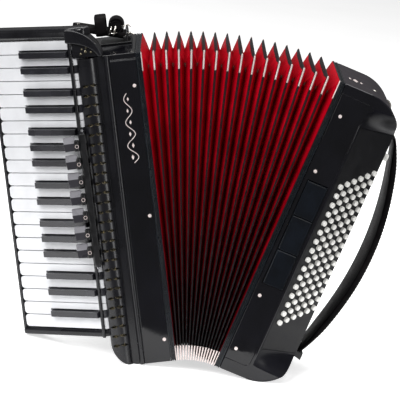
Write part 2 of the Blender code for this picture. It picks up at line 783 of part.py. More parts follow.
def strap_anchor(parent):
    """Steel clamp under the strap's lower end, on the outer wall."""
    black_steel = ("black_steel", (0.03, 0.03, 0.03), 0.35, 0.9)
    face = BASS_WIDTH + GAP
    bend = [(face, 0.0625), (face, 0.0800), (face + 0.002, 0.0800), (face + 0.002, 0.0455)]
    bend += [(face + 0.012, 0.0455), (face + 0.012, 0.0430), (face, 0.0430)]
    low, high = STRAP_Y - STRAP_WIDTH / 2 - 0.002, STRAP_Y + STRAP_WIDTH / 2 + 0.002
    return solid("strap_anchor", prism(bend, "Y", low, high), parent, black_steel)


# Stance


def lowest(points, lean):
    turn = Matrix.Rotation(-lean, 3, "Y")
    return min((turn @ Vector((x, 0, z))).z for x, z in points)


def resting_lean():
    """Lean to the left at which the treble side and the bass side both touch the ground."""
    treble = treble_outline() + frame_silhouette()
    bass = [tuple(fan_point(FOLDS, x, 0, z).xz) for x, z in bass_outline()]
    start, end = 0.0, OPENING
    for _ in range(40):
        lean = (start + end) / 2
        if lowest(treble, lean) > lowest(bass, lean):
            start = lean
        else:
            end = lean
    return start


def stand(stance):
    """Leans the whole instrument and moves it so that it stands on the ground about the origin."""
    stance.rotation_euler = (0, -resting_lean(), 0)
    bpy.context.view_layer.update()
    graph = bpy.context.evaluated_depsgraph_get()
    low = Vector((9, 9, 9))
    high = -low
    for thing in bpy.data.objects:
        if thing.type != "MESH" or thing.hide_render:
            continue
        for vertex in thing.evaluated_get(graph).data.vertices:
            point = thing.matrix_world @ vertex.co
            low = Vector(map(min, low, point))
            high = Vector(map(max, high, point))
    stance.location = -Vector(((low.x + high.x) / 2, (low.y + high.y) / 2, low.z))


def main():
    clear_scene()
    stance = empty("stance", None)
    treble = empty("treble_side", stance)
    hinges = [fan(fold)[0] for fold in HINGE_FOLDS]
    rib_hinge = empty("bellows_hinge_treble", stance, hinges[0])
    bass_hinge = empty("bellows_hinge_bass", rib_hinge, hinges[1] - hinges[0])
    bottom, angle = fan(FOLDS)
    bass = empty("bass_side", bass_hinge, bottom - hinges[1], angle)

    treble_case(treble)
    treble_cover(treble)
    keyboard_frame(treble)
    key_rod(treble)
    centres = black_centres()
    for index in range(WHITE_KEYS):
        white_key(index, centres, treble)
    for number, centre in enumerate(centres.values()):
        black_key(number, centre, treble)
    treble_registers(treble)
    treble_soundboard(treble)
    reed_rows = (-0.045, 0.0, 0.045)
    reed_block("treble_reed_block", treble, -0.0457, -0.012, reed_rows, 0.025, 0.434)
    strap_bracket(treble)
    shoulder_strap(treble)

    tape = ("black_bellows_tape", (0.015, 0.015, 0.017), 0.5, 0.0)
    ring("bellows_frame_treble", treble, -FRAME_THICKNESS, 0, FRAME_WIDTH, tape)
    bellows_section("bellows_leaves_treble", 0, RIB_FOLD, treble, (0, 0, 0))
    rib_bottom, rib_angle = fan(RIB_FOLD)
    half = RIB_THICKNESS / 2
    place_rib = rib_bottom - hinges[0]
    ring("bellows_rib", rib_hinge, -half, half, FRAME_WIDTH, tape, place_rib, rib_angle)
    leaves = bellows_section("bellows_leaves_bass", RIB_FOLD, FOLDS, rib_hinge, (0, 0, 0))
    leaves.location = -hinges[0]
    ring("bellows_frame_bass", bass, 0, FRAME_THICKNESS, FRAME_WIDTH, tape)

    bass_case(bass)
    bass_board(bass)
    bass_buttons(bass)
    bass_registers(bass)
    air_button(bass)
    reed_block("bass_reed_block", bass, 0.030, 0.012, (-0.030, 0.025), 0.060, 0.400)
    strap_wheel(bass)
    strap_anchor(bass)
    bass_strap(bass)
    stand(stance)


main()
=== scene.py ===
import json
import math
import random

import bpy
from mathutils import Matrix, Vector


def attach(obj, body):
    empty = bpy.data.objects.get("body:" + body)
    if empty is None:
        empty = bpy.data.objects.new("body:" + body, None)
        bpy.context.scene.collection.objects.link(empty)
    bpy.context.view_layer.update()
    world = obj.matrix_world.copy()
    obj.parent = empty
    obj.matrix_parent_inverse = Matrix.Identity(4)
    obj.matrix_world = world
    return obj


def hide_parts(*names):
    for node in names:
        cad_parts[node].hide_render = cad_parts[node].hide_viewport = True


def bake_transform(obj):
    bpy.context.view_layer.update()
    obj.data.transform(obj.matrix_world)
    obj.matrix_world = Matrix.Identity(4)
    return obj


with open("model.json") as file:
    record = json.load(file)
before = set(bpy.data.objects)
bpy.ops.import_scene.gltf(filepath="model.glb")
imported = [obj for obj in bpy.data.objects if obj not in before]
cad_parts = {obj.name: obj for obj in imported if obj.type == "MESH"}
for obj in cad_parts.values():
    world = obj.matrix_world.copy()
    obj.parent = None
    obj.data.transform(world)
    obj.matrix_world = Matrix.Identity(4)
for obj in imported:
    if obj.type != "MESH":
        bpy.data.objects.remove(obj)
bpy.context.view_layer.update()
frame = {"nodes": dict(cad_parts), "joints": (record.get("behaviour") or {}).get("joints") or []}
jointNamed = {joint["name"]: joint for joint in frame["joints"]}
mm = 0.001
print("frame loaded")


# Frames: each half leans, so it is modelled upright at its own bellows face and then put in place

def spanOf(node, home):
    back = home.inverted()
    points = [back @ vertex.co for vertex in frame["nodes"][node].data.vertices]
    low = Vector([min(point[i] for point in points) for i in range(3)])
    return low, Vector([max(point[i] for point in points) for i in range(3)])


def bellowsFaceFrame(node, angle, side):
    turn = Matrix.Rotation(angle, 4, "Y")
    low, high = spanOf(node, turn)
    corner = Vector((high.x if side < 0 else low.x, (low.y + high.y) / 2, low.z))
    return turn @ Matrix.Translation(corner)


trebleUp = -Vector(jointNamed["white_key_01_press"]["axis"])
bassOut = -Vector(jointNamed["air_button_press"]["axis"])
trebleAngle = math.atan2(trebleUp.x, trebleUp.z)
bassAngle = math.atan2(-bassOut.z, bassOut.x)
trebleHome = bellowsFaceFrame("bellows_frame_treble", trebleAngle, -1)
bassHome = bellowsFaceFrame("bellows_frame_bass", bassAngle, 1)
ringHigh = spanOf("bellows_frame_treble", trebleHome)[1]
caseHeight = ringHigh.z
halfDepth = ringHigh.y
front = -halfDepth

# Across the keys: X runs along a key to the player, Y comes out of its top, Z goes up the keyboard
keyboard = {"tilt": 30, "railX": -0.100, "railY": -0.090}
tiltSine = math.sin(math.radians(keyboard["tilt"]))
tiltCosine = math.cos(math.radians(keyboard["tilt"]))
keyTurn = Matrix(((-tiltCosine, -tiltSine, 0, keyboard["railX"]),
                  (tiltSine, -tiltCosine, 0, keyboard["railY"]),
                  (0, 0, 1, 0),
                  (0, 0, 0, 1)))
keyHome = trebleHome @ keyTurn


# Modelling helpers

def clearSelection():
    bpy.ops.object.select_all(action="DESELECT")


def only(piece):
    clearSelection()
    piece.select_set(True)
    bpy.context.view_layer.objects.active = piece


def adopt(name):
    piece = bpy.context.object
    piece.name = name
    piece.data.name = name
    return piece


def spread(axis, along, flat):
    point = list(flat)
    point.insert("XYZ".index(axis), along)
    return point


def arc(centre, radius, start, end, steps):
    points = []
    for i in range(steps + 1):
        angle = math.radians(start + (end - start) * i / steps)
        points.append((centre[0] + radius * math.cos(angle), centre[1] + radius * math.sin(angle)))
    return points


def closeSeams(piece, gap=0.00002):
    only(piece)
    bpy.ops.object.mode_set(mode="EDIT")
    bpy.ops.mesh.select_all(action="SELECT")
    bpy.ops.mesh.remove_doubles(threshold=gap)
    bpy.ops.mesh.normals_make_consistent(inside=False)
    bpy.ops.object.mode_set(mode="OBJECT")


def plate(name, outline, axis, low, high):
    clearSelection()
    bpy.ops.mesh.primitive_circle_add(vertices=len(outline), fill_type="NGON")
    piece = adopt(name)
    for vertex, flat in zip(piece.data.vertices, outline):
        vertex.co = spread(axis, low, flat)
    bpy.ops.object.mode_set(mode="EDIT")
    bpy.ops.mesh.select_all(action="SELECT")
    push = spread(axis, high - low, (0, 0))
    bpy.ops.mesh.extrude_region_move(TRANSFORM_OT_translate={"value": push})
    bpy.ops.mesh.select_all(action="SELECT")
    bpy.ops.mesh.normals_make_consistent(inside=False)
    bpy.ops.object.mode_set(mode="OBJECT")
    return piece


def block(name, low, high):
    low, high = Vector(low), Vector(high)
    clearSelection()
    bpy.ops.mesh.primitive_cube_add(size=1, location=(low + high) / 2, scale=high - low)
    piece = adopt(name)
    bpy.ops.object.transform_apply(location=True, rotation=True, scale=True)
    return piece


# A grid whose points are put on a surface; place takes the two shares from 0 to 1
def lattice(name, across, along, place):
    clearSelection()
    bpy.ops.mesh.primitive_grid_add(x_subdivisions=across, y_subdivisions=along, size=2)
    piece = adopt(name)
    for vertex in piece.data.vertices:
        vertex.co = place((vertex.co.x + 1) / 2, (vertex.co.y + 1) / 2)
    return piece


# Turned about Z: profile is a list of (radius, height)
def turned(name, profile, around=24):
    rows = len(profile) - 1

    def place(u, v):
        radius, height = profile[round(v * rows)]
        angle = u * math.tau
        return radius * math.cos(angle), radius * math.sin(angle), height

    piece = lattice(name, around, rows, place)
    closeSeams(piece)
    return piece


# A tube along points, with a round section and closed ends
def tube(name, points, radius, around=10):
    points = [Vector(point) for point in points]
    rows = len(points) - 1
    frames = []
    side = None
    for i, point in enumerate(points):
        ahead = (points[min(i + 1, rows)] - points[max(i - 1, 0)]).normalized()
        if side is None:
            side = ahead.orthogonal().normalized()
        side = (side - ahead * side.dot(ahead)).normalized()
        frames.append((point, side, ahead.cross(side)))

    def place(u, v):
        row = round(v * (rows + 2)) - 1
        point, one, other = frames[min(max(row, 0), rows)]
        if row < 0 or row > rows:
            return point
        angle = u * math.tau
        return point + (one * math.cos(angle) + other * math.sin(angle)) * radius

    piece = lattice(name, around, rows + 2, place)
    closeSeams(piece)
    return piece


def applied(piece, kind, **settings):
    only(piece)
    bpy.ops.object.modifier_add(type=kind)
    modifier = piece.modifiers[-1]
    for setting, value in settings.items():
        setattr(modifier, setting, value)
    bpy.ops.object.modifier_apply(modifier=modifier.name)


def carve(piece, cutter, operation="DIFFERENCE"):
    applied(piece, "BOOLEAN", operation=operation, solver="EXACT", object=cutter)
    bpy.data.objects.remove(cutter)


def smooth(piece, angle=35, weighted=True):
    only(piece)
    bpy.ops.object.shade_smooth_by_angle(angle=math.radians(angle))
    if weighted:
        applied(piece, "WEIGHTED_NORMAL", keep_sharp=True)


def soften(piece, width, segments=2, angle=30):
    limit = math.radians(angle)
    applied(piece, "BEVEL", width=width, segments=segments, limit_method="ANGLE", angle_limit=limit)
    smooth(piece, 50)


def settle(piece, home):
    only(piece)
    piece.matrix_world = home
    bpy.ops.object.transform_apply(location=True, rotation=True, scale=True)
    return piece


def twin(piece, place):
    copy = piece.copy()
    copy.data = piece.data.copy()
    bpy.context.scene.collection.objects.link(copy)
    copy.matrix_world = place
    return copy


def joined(name, pieces):
    only(pieces[0])
    for piece in pieces[1:]:
        piece.select_set(True)
    bpy.ops.object.join()
    return adopt(name)


# Models once, then one copy at each place, all in one object
def repeated(name, model, places):
    copies = [twin(model, place) for place in places]
    bpy.data.objects.remove(model)
    piece = joined(name, copies)
    only(piece)
    bpy.ops.object.transform_apply(location=True, rotation=True, scale=True)
    return piece


def facesWhere(piece, test):
    only(piece)
    bpy.ops.object.mode_set(mode="EDIT")
    bpy.ops.mesh.select_mode(type="FACE")
    bpy.ops.mesh.select_all(action="DESELECT")
    bpy.ops.object.mode_set(mode="OBJECT")
    for face in piece.data.polygons:
        face.select = test(face)
    bpy.ops.object.mode_set(mode="EDIT")


def dress(piece, material, body, slot, *nodes):
    if material:
        piece.data.materials.clear()
        piece.data.materials.append(material)
    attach(piece, body)
    if nodes:
        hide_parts(*nodes)
    return piece


# Materials

def linear(hexColour):
    parts = [int(hexColour[i:i + 2], 16) / 255 for i in (1, 3, 5)]
    return (*[c / 12.92 if c <= 0.04045 else ((c + 0.055) / 1.055) ** 2.4 for c in parts], 1)


def addNode(tree, kind, inputs=None, **settings):
    node = tree.nodes.new(kind)
    for setting, value in settings.items():
        setattr(node, setting, value)
    for socket, value in (inputs or {}).items():
        if isinstance(value, bpy.types.NodeSocket):
            tree.links.new(value, node.inputs[socket])
        else:
            node.inputs[socket].default_value = value
    return node


def startMaterial(name, **sockets):
    material = bpy.data.materials.new(name)
    material.use_nodes = True
    tree = material.node_tree
    shader = tree.nodes["Principled BSDF"]
    for socket, value in sockets.items():
        shader.inputs[socket.replace("_", " ")].default_value = value
    spot = addNode(tree, "ShaderNodeTexCoord")
    return material, tree, shader, spot


def noiseShare(tree, where, size, detail=2.0, stretch=(1, 1, 1), turn=0.0):
    mapped = addNode(tree, "ShaderNodeMapping", {"Vector": where, "Scale": stretch, "Rotation": (0, turn, 0)})
    grain = {"Vector": mapped.outputs[0], "Scale": 1 / size, "Detail": detail}
    noise = addNode(tree, "ShaderNodeTexNoise", grain)
    return noise.outputs["Fac"]


def blendColour(tree, share, low, high, colours):
    ramp = addNode(tree, "ShaderNodeValToRGB", {"Fac": share})
    ramp.color_ramp.elements[0].position = low
    ramp.color_ramp.elements[1].position = high
    for element, colour in zip(ramp.color_ramp.elements, colours):
        element.color = linear(colour)
    return ramp.outputs["Color"]


def between(tree, share, fromRange, toRange):
    values = {"Value": share, "From Min": fromRange[0], "From Max": fromRange[1],
              "To Min": toRange[0], "To Max": toRange[1]}
    return addNode(tree, "ShaderNodeMapRange", values).outputs["Result"]


def addBump(tree, shader, height, strength, distance, under=None):
    inputs = {"Height": height, "Strength": strength, "Distance": distance}
    if under:
        inputs["Normal"] = under
    bump = addNode(tree, "ShaderNodeBump", inputs)
    tree.links.new(bump.outputs["Normal"], shader.inputs["Normal"])
    return bump.outputs["Normal"]


# Two noises drive colour, roughness and relief; every plain finish below starts from this
def grainedFinish(name, colours, roughness, patch, grain, relief, stretch=(1, 1, 1), turn=0.0, **sockets):
    material, tree, shader, spot = startMaterial(name, **sockets)
    where = spot.outputs["Object"]
    patches = noiseShare(tree, where, patch, 3, stretch, turn)
    tree.links.new(blendColour(tree, patches, 0.3, 0.7, colours), shader.inputs["Base Color"])
    tree.links.new(between(tree, patches, (0.3, 0.7), roughness), shader.inputs["Roughness"])
    fine = noiseShare(tree, where, grain, 2, stretch, turn)
    addBump(tree, shader, fine, relief[0], relief[1])
    return material


# Celluloid skin over wood, polished: mirror gloss with a faint orange peel and hairline wear
def makeLacquer():
    material, tree, shader, spot = startMaterial("polishedCelluloid", IOR=1.5)
    where = spot.outputs["Object"]
    depth = noiseShare(tree, where, 0.06, 2)
    tree.links.new(blendColour(tree, depth, 0.3, 0.7, ("#0b0b0e", "#121217")), shader.inputs["Base Color"])
    hairlines = noiseShare(tree, where, 0.0006, 2, (1, 1, 0.03), 0.4)
    patches = noiseShare(tree, where, 0.03, 3)
    wear = addNode(tree, "ShaderNodeMath", {0: hairlines, 1: patches}, operation="MULTIPLY")
    tree.links.new(between(tree, wear.outputs[0], (0.15, 0.45), (0.05, 0.15)), shader.inputs["Roughness"])
    peel = noiseShare(tree, where, 0.005, 1)
    addBump(tree, shader, peel, 0.12, 0.0002)
    return material


# Woven bellows cloth: satin face, threads drawn at 0.8 mm so that they show, and painted shade that darkens
# it towards the bottom, where the folds close
def makeLeafCloth():
    material, tree, shader, spot = startMaterial("redSatinCloth", IOR=1.45, Specular_IOR_Level=0.16)
    where = spot.outputs["UV"]
    patches = noiseShare(tree, spot.outputs["Object"], 0.035, 3)
    dyed = blendColour(tree, patches, 0.25, 0.75, ("#a50015", "#cc0421"))
    # Painted shade: the red is mixed towards near-black lower down the bellows
    height = addNode(tree, "ShaderNodeSeparateXYZ", {"Vector": spot.outputs["Object"]}).outputs["Z"]
    paintedShadeBelow = between(tree, height, (0.06, 0.43), (0.86, 0.0))
    mixture = {"Factor": paintedShadeBelow, 6: dyed, 7: linear("#1c0004")}
    base = addNode(tree, "ShaderNodeMix", mixture, data_type="RGBA").outputs[2]
    threads = []
    for direction in ("X", "Y"):
        bands = {"Vector": where, "Scale": 390.0, "Distortion": 0.6, "Detail": 1.0, "Detail Scale": 2.0}
        wave = addNode(tree, "ShaderNodeTexWave", bands, bands_direction=direction)
        threads.append(wave.outputs["Fac"])
    weave = addNode(tree, "ShaderNodeMath", {0: threads[0], 1: threads[1]}, operation="MULTIPLY").outputs[0]
    mixture = {"Factor": between(tree, weave, (0, 1), (0.0, 0.25)), 6: base, 7: linear("#70000e")}
    shade = addNode(tree, "ShaderNodeMix", mixture, data_type="RGBA")
    tree.links.new(shade.outputs[2], shader.inputs["Base Color"])
    tree.links.new(between(tree, patches, (0.3, 0.7), (0.36, 0.52)), shader.inputs["Roughness"])
    addBump(tree, shader, weave, 0.25, 0.0002)
    return material


# Cowhide, dyed black: pebbled cells about 1.3 mm across, polished on their tops
def makeLeather(name, cell, colours, roughness):
    material, tree, shader, spot = startMaterial(name, IOR=1.3, Specular_IOR_Level=0.06)
    where = spot.outputs["Object"]
    cells = addNode(tree, "ShaderNodeTexVoronoi", {"Vector": where, "Scale": 1 / cell}, feature="SMOOTH_F1")
    patches = noiseShare(tree, where, 0.02, 3)
    tree.links.new(blendColour(tree, patches, 0.3, 0.7, colours), shader.inputs["Base Color"])
    pebbles = {0: cells.outputs["Distance"], 1: patches}
    mixed = addNode(tree, "ShaderNodeMath", pebbles, operation="ADD").outputs[0]
    tree.links.new(between(tree, mixed, (0.5, 1.3), roughness), shader.inputs["Roughness"])
    addBump(tree, shader, cells.outputs["Distance"], 0.35, 0.0004)
    return material


# Planed wood: growth rings stretched along the grain
def makeWood(name, colours):
    material, tree, shader, spot = startMaterial(name, IOR=1.5)
    where = spot.outputs["Object"]
    rings = noiseShare(tree, where, 0.004, 3, (1, 1, 0.06), -trebleAngle)
    tree.links.new(blendColour(tree, rings, 0.35, 0.65, colours), shader.inputs["Base Color"])
    tree.links.new(between(tree, rings, (0.3, 0.7), (0.45, 0.65)), shader.inputs["Roughness"])
    addBump(tree, shader, rings, 0.2, 0.0002)
    return material


# Loudspeaker-type cloth behind the vents: black with gilt threads here and there
def makeGrilleCloth():
    material, tree, shader, spot = startMaterial("giltThreadCloth", IOR=1.45)
    where = spot.outputs["Object"]
    flecks = noiseShare(tree, where, 0.0016, 2, (1, 1, 1.6))
    tree.links.new(blendColour(tree, flecks, 0.56, 0.64, ("#0c0b0a", "#b9a878")), shader.inputs["Base Color"])
    tree.links.new(between(tree, flecks, (0.5, 0.65), (0.8, 0.35)), shader.inputs["Roughness"])
    addBump(tree, shader, flecks, 0.4, 0.0003)
    return material


lacquer = makeLacquer()
leafCloth = makeLeafCloth()
leather = makeLeather("blackCowhide", 1.3 * mm, ("#0d0c0d", "#1a1819"), (0.32, 0.55))
grilleCloth = makeGrilleCloth()
pine = makeWood("planedPine", ("#a87a45", "#cda06a"))
maple = makeWood("planedMaple", ("#b98c58", "#d9b480"))
# Unpolished celluloid: the top band of the bass case, a plum-black satin that smears highlights
satinShell = grainedFinish("satinCelluloid", ("#1c181d", "#262027"), (0.42, 0.55), 0.03, 0.4 * mm,
                           (0.15, 0.0001), Specular_IOR_Level=0.25)
# Moulded ABS of the button board: fine eggshell texture
boardPlastic = grainedFinish("mouldedAbs", ("#0f0f11", "#161619"), (0.36, 0.5), 0.02, 0.5 * mm, (0.2, 0.0001),
                             Specular_IOR_Level=0.16)
# Cast acrylic key tops: hard gloss with fine wear along the fingers' way
keyTop = grainedFinish("castAcrylic", ("#d8d9dc", "#e3e4e7"), (0.10, 0.22), 0.03, 0.7 * mm, (0.05, 0.0001),
                       IOR=1.49)
# Phenolic black keys, worn lighter and duller in patches
keyBlack = grainedFinish("mouldedPhenolic", ("#17171b", "#26262c"), (0.18, 0.32), 0.05, 0.6 * mm,
                         (0.08, 0.0001), IOR=1.6)
# Celluloid polished less, so that highlights spread: keyboard frame, head and vent strip
softLacquer = grainedFinish("softCelluloid", ("#0c0c10", "#131318"), (0.24, 0.34), 0.04, 0.6 * mm,
                            (0.05, 0.0001))
# Pearl-grey acetate of the register tabs: the copy with painted light, put on their upper facets
tabPaintedLit = grainedFinish("acetatePaintedLit", ("#7b7a7f", "#8a898e"), (0.22, 0.34), 0.03, 0.5 * mm,
                           (0.06, 0.0001), IOR=1.48)
# The same acetate in a darker grey: the copy with painted shade, on the fronts of the tabs
tabPaintedShade = grainedFinish("acetatePaintedShade", ("#2b2a2f", "#353439"), (0.24, 0.36), 0.03, 0.5 * mm, (0.06, 0.0001))
# Polished urea buttons
buttonPlastic = grainedFinish("polishedUrea", ("#f1f0eb", "#faf9f5"), (0.12, 0.22), 0.004, 0.4 * mm,
                              (0.04, 0.0001), IOR=1.55)
# Bookbinder's tape over the ridges: calendered vinyl with a cloth print
tapeVinyl = grainedFinish("calenderedVinyl", ("#0c0b0d", "#161417"), (0.42, 0.6), 0.008, 0.5 * mm,
                          (0.25, 0.0002), IOR=1.5)
# Nickel plate, buffed: corner clips, buckle, pins
nickel = grainedFinish("buffedNickel", ("#cfc9c0", "#efeae2"), (0.12, 0.26), 0.008, 0.4 * mm, (0.04, 0.0001),
                       Metallic=1.0)
# Bright drawn steel with die lines
drawnSteel = grainedFinish("drawnSteel", ("#8f9094", "#b4b5b8"), (0.2, 0.34), 0.003, 0.4 * mm, (0.1, 0.0001),
                           (1, 1, 0.05), Metallic=1.0)
# Stoved black enamel on steel
enamel = grainedFinish("stovedEnamel", ("#0d0d0e", "#19191b"), (0.28, 0.42), 0.006, 0.8 * mm,
                       (0.12, 0.0001), IOR=1.5)
# Waxed polyester thread
thread = grainedFinish("waxedThread", ("#2a282b", "#3a373b"), (0.5, 0.7), 0.003, 0.3 * mm, (0.3, 0.0001),
                       IOR=1.5)
print("materials made")


# Treble case: a lacquered box, open behind its cover and towards the bellows, notched for the key tails
trebleCase = {"left": -0.092, "right": -0.0083, "corner": 0.040, "wall": 0.005, "cornerSteps": 14,
              "edge": 0.0016}
bodyEdge = {"notchLeft": -0.12, "notchRight": -0.066, "notchBack": -0.0575, "notchLow": 0.0445}


def trebleOutline(inset, right):
    left = trebleCase["left"] + inset
    radius = trebleCase["corner"] - inset
    corner = arc((left + radius, inset + radius), radius, 180, 270, trebleCase["cornerSteps"])
    return [(right, caseHeight - inset), (left, caseHeight - inset), *corner, (right, inset)]


# Slanted facet along the top edge of the flat panel
def topFacet():
    section = [(front - 0.0010, caseHeight - 0.0105), (front + 0.0034, caseHeight - 0.0068),
               (front + 0.0034, caseHeight + 0.0030), (front - 0.0010, caseHeight + 0.0030)]
    return plate("topFacet", section, "X", -0.0448, 0.002)


def makeTrebleCase():
    wall = trebleCase["wall"]
    behindCover = front + 0.0038
    case = plate("trebleCase", trebleOutline(0, trebleCase["right"]), "Y", behindCover, halfDepth)
    hollow = plate("hollow", trebleOutline(wall, 0.02), "Y", front - 0.02, halfDepth - wall)
    carve(case, hollow)
    low = (bodyEdge["notchLeft"], -0.12, bodyEdge["notchLow"])
    high = (bodyEdge["notchRight"], bodyEdge["notchBack"], caseHeight + 0.02)
    carve(case, block("notch", low, high))
    soften(case, trebleCase["edge"], 3)
    carve(case, topFacet())
    settle(case, trebleHome)
    dress(case, lacquer, "treble", "case_lacquer", "treble_case")


# Cover: half-round vent strip, groove, bright raised line, flat panel; sizes across the front
cover = {"stripMiddle": -0.0780, "stripRadius": 0.0142, "swell": 0.84, "skin": 0.0035, "flatEnd": -0.0083,
         "rows": 28, "topRow": 0.420, "rowPitch": 0.0143, "leafLength": 0.0056, "leafWidth": 0.0025,
         "leafApart": 0.0112, "edge": 0.0022, "rollMiddle": -0.0498, "panelStart": -0.0448}


def coverProfile():
    base = front + cover["skin"]
    middle = cover["stripMiddle"]
    swell = cover["swell"]
    strip = arc((middle, base), cover["stripRadius"], 180, 357, 26)
    outer = [(x, base + (y - base) * swell) for x, y in strip]
    outer += [(-0.0628, front + 0.0028), (cover["rollMiddle"] - 0.0042, front + 0.0026)]
    roll = arc((0, 0), 1, 180, 360, 12)
    outer += [(cover["rollMiddle"] + 0.0034 * x, front + 0.0008 + 0.0034 * y) for x, y in roll]
    outer += [(cover["panelStart"], front), (cover["flatEnd"], front)]
    inner = [(cover["flatEnd"], base), (-0.0610, base)]
    inner += [(x, base + (y - base) * swell) for x, y in arc((middle, base), 0.0112, 0, -180, 16)]
    return outer + inner


def leafOutline(x, z, turn):
    points = []
    for i in range(12):
        angle = math.tau * i / 12
        along = cover["leafLength"] * math.cos(angle)
        across = cover["leafWidth"] * math.sin(angle) * (1 - 0.45 * abs(math.cos(angle)))
        points.append((x + along * math.cos(turn) - across * math.sin(turn),
                       z + along * math.sin(turn) + across * math.cos(turn)))
    return points


def ventPlaces():
    for row in range(cover["rows"]):
        z = cover["topRow"] - row * cover["rowPitch"]
        for side in (-1, 1):
            yield cover["stripMiddle"] + side * cover["leafApart"] / 2, z + side * 0.0004, side


def makeTrebleCover():
    panel = plate("trebleCover", coverProfile(), "Z", 0.0003, caseHeight - 0.0003)
    shape = plate("silhouette", trebleOutline(-0.0008, 0.0), "Y", front - 0.05, halfDepth)
    carve(panel, shape, "INTERSECT")
    smooth(panel, 30, weighted=False)
    applied(panel, "BEVEL", width=cover["edge"], segments=4, limit_method="ANGLE",
            angle_limit=math.radians(60))
    cutters = []
    for x, z, side in ventPlaces():
        outline = leafOutline(x, z, side * math.radians(-9))
        cutters.append(plate("leaf", outline, "Y", front - 0.03, front + 0.004))
    carve(panel, joined("leaves", cutters))
    carve(panel, topFacet())
    smooth(panel, 40)
    panel.data.materials.append(lacquer)
    panel.data.materials.append(softLacquer)
    for face in panel.data.polygons:
        besidePanel = face.center.x < cover["panelStart"] and face.center.z < caseHeight - 0.004
        face.material_index = 1 if besidePanel else 0
    settle(panel, trebleHome)
    dress(panel, None, "treble", "cover_lacquer", "treble_cover")


# Lips under the leaf-shaped vents, pressed from thin gilt metal; their brightness is partly a painted
# highlight, metal put where each vent's lower edge catches the light
def makeVentLips():
    def place(u, v):
        along = (v * 2 - 1) * cover["leafLength"] * 0.92
        sag = -cover["leafWidth"] * 0.62 * (1 - (along / cover["leafLength"]) ** 2) - 0.0002
        angle = u * math.tau
        thick = 0.00042 * (1.02 - abs(v * 2 - 1) ** 3)
        return along, thick * math.cos(angle), sag + thick * math.sin(angle)

    lip = lattice("lip", 6, 10, place)
    closeSeams(lip, 0.000001)
    smooth(lip, 60, weighted=False)
    places = []
    base = front + cover["skin"]
    for x, z, side in ventPlaces():
        reach = x - cover["stripMiddle"]
        depth = math.sqrt(cover["stripRadius"] ** 2 - reach ** 2) * cover["swell"]
        slope = math.atan2(reach, depth)
        spot = Matrix.Translation((x, base - depth + 0.0004, z))
        places.append(spot @ Matrix.Rotation(slope, 4, "Z") @ Matrix.Rotation(side * math.radians(9), 4, "Y"))
    lips = repeated("ventLips", lip, places)
    settle(lips, trebleHome)
    dress(lips, gilt, "treble", "steel")


def makeGrilleBacking():
    def place(u, v):
        angle = math.radians(180 + 150 * u)
        x = cover["stripMiddle"] + 0.0104 * math.cos(angle)
        y = front + cover["skin"] + 0.0104 * cover["swell"] * math.sin(angle)
        return x, y, 0.022 + v * (caseHeight - 0.040)

    cloth = lattice("grilleCloth", 14, 60, place)
    closeSeams(cloth)
    applied(cloth, "SOLIDIFY", thickness=0.0005)
    smooth(cloth, 60, weighted=False)
    settle(cloth, trebleHome)
    dress(cloth, grilleCloth, "treble", "cover_lacquer")


# A plain scroll with lozenges in its bends, where the cover carries its decoration
ornament = {"x": -0.0270, "low": 0.300, "high": 0.402, "swing": 0.0075, "bends": 6, "wire": 0.0006,
            "lozenge": 0.0042}


def makeOrnament():
    line = []
    for i in range(97):
        share = i / 96
        swing = ornament["swing"] * (1 - 0.4 * share)
        x = ornament["x"] + swing * math.sin(math.pi * ornament["bends"] * share)
        line.append((x, front - 0.0001, ornament["low"] + share * (ornament["high"] - ornament["low"])))
    parts = [tube("scroll", line, ornament["wire"], 6)]
    for i in range(ornament["bends"]):
        share = (i + 0.5) / ornament["bends"]
        side = 1 if i % 2 else -1
        x = ornament["x"] + side * 0.0012
        z = ornament["low"] + share * (ornament["high"] - ornament["low"])
        size = ornament["lozenge"] * (1 - 0.3 * share)
        outline = [(x - size * 0.5, z), (x, z - size), (x + size * 0.5, z), (x, z + size)]
        lozenge = plate("lozenge", outline, "Y", front - 0.0006, front + 0.0003)
        applied(lozenge, "BEVEL", width=0.0003, segments=2, limit_method="ANGLE")
        parts.append(lozenge)
    scroll = joined("coverOrnament", parts)
    smooth(scroll, 40)
    settle(scroll, trebleHome)
    dress(scroll, cornerMetal, "treble", "steel")


# Pins that hold the bellows frames in the cases: distance from the frame and height
pins = {"radius": 0.0027, "proud": 0.0013, "treble": ((-0.0140, 0.412), (-0.0140, 0.220), (-0.0140, 0.034)),
        "bass": ((0.0205, 0.412), (0.0200, 0.3245), (0.0195, 0.124), (0.0195, 0.037))}


def makePins(name, home, body, spots):
    profile = [(0, 0), (pins["radius"], 0), (pins["radius"], 0.0004),
               (pins["radius"] * 0.8, pins["proud"] * 0.8), (pins["radius"] * 0.45, pins["proud"]),
               (0, pins["proud"])]
    head = turned("pinHead", profile, 16)
    smooth(head, 30, weighted=False)
    places = []
    for face in (front, halfDepth):
        turn = Matrix.Rotation(math.radians(90 if face < 0 else -90), 4, "X")
        for x, z in spots:
            places.append(Matrix.Translation((x, face, z)) @ turn)
    heads = repeated(name, head, places)
    settle(heads, home)
    dress(heads, cornerMetal, body, "steel")


# Satin aluminium of the corner strips and pins, tinted pink: a painted reflection of the red bellows cloth
cornerMetal = grainedFinish("satinAluminium", ("#ecdcd8", "#f6eae7"), (0.32, 0.45), 0.01, 0.8 * mm,
                            (0.03, 0.0001), Metallic=0.25)
# Brass foil, tarnished in the vents
gilt = grainedFinish("giltFoil", ("#5c5646", "#9a917a"), (0.3, 0.45), 0.002, 0.3 * mm, (0.05, 0.0001),
                     Metallic=1.0)
makeTrebleCase()
makeTrebleCover()
makeVentLips()
makeGrilleBacking()
makeOrnament()
makePins("treblePins", trebleHome, "treble", pins["treble"])
makePins("bassPins", bassHome, "bass", pins["bass"])
print("treble case and cover made")


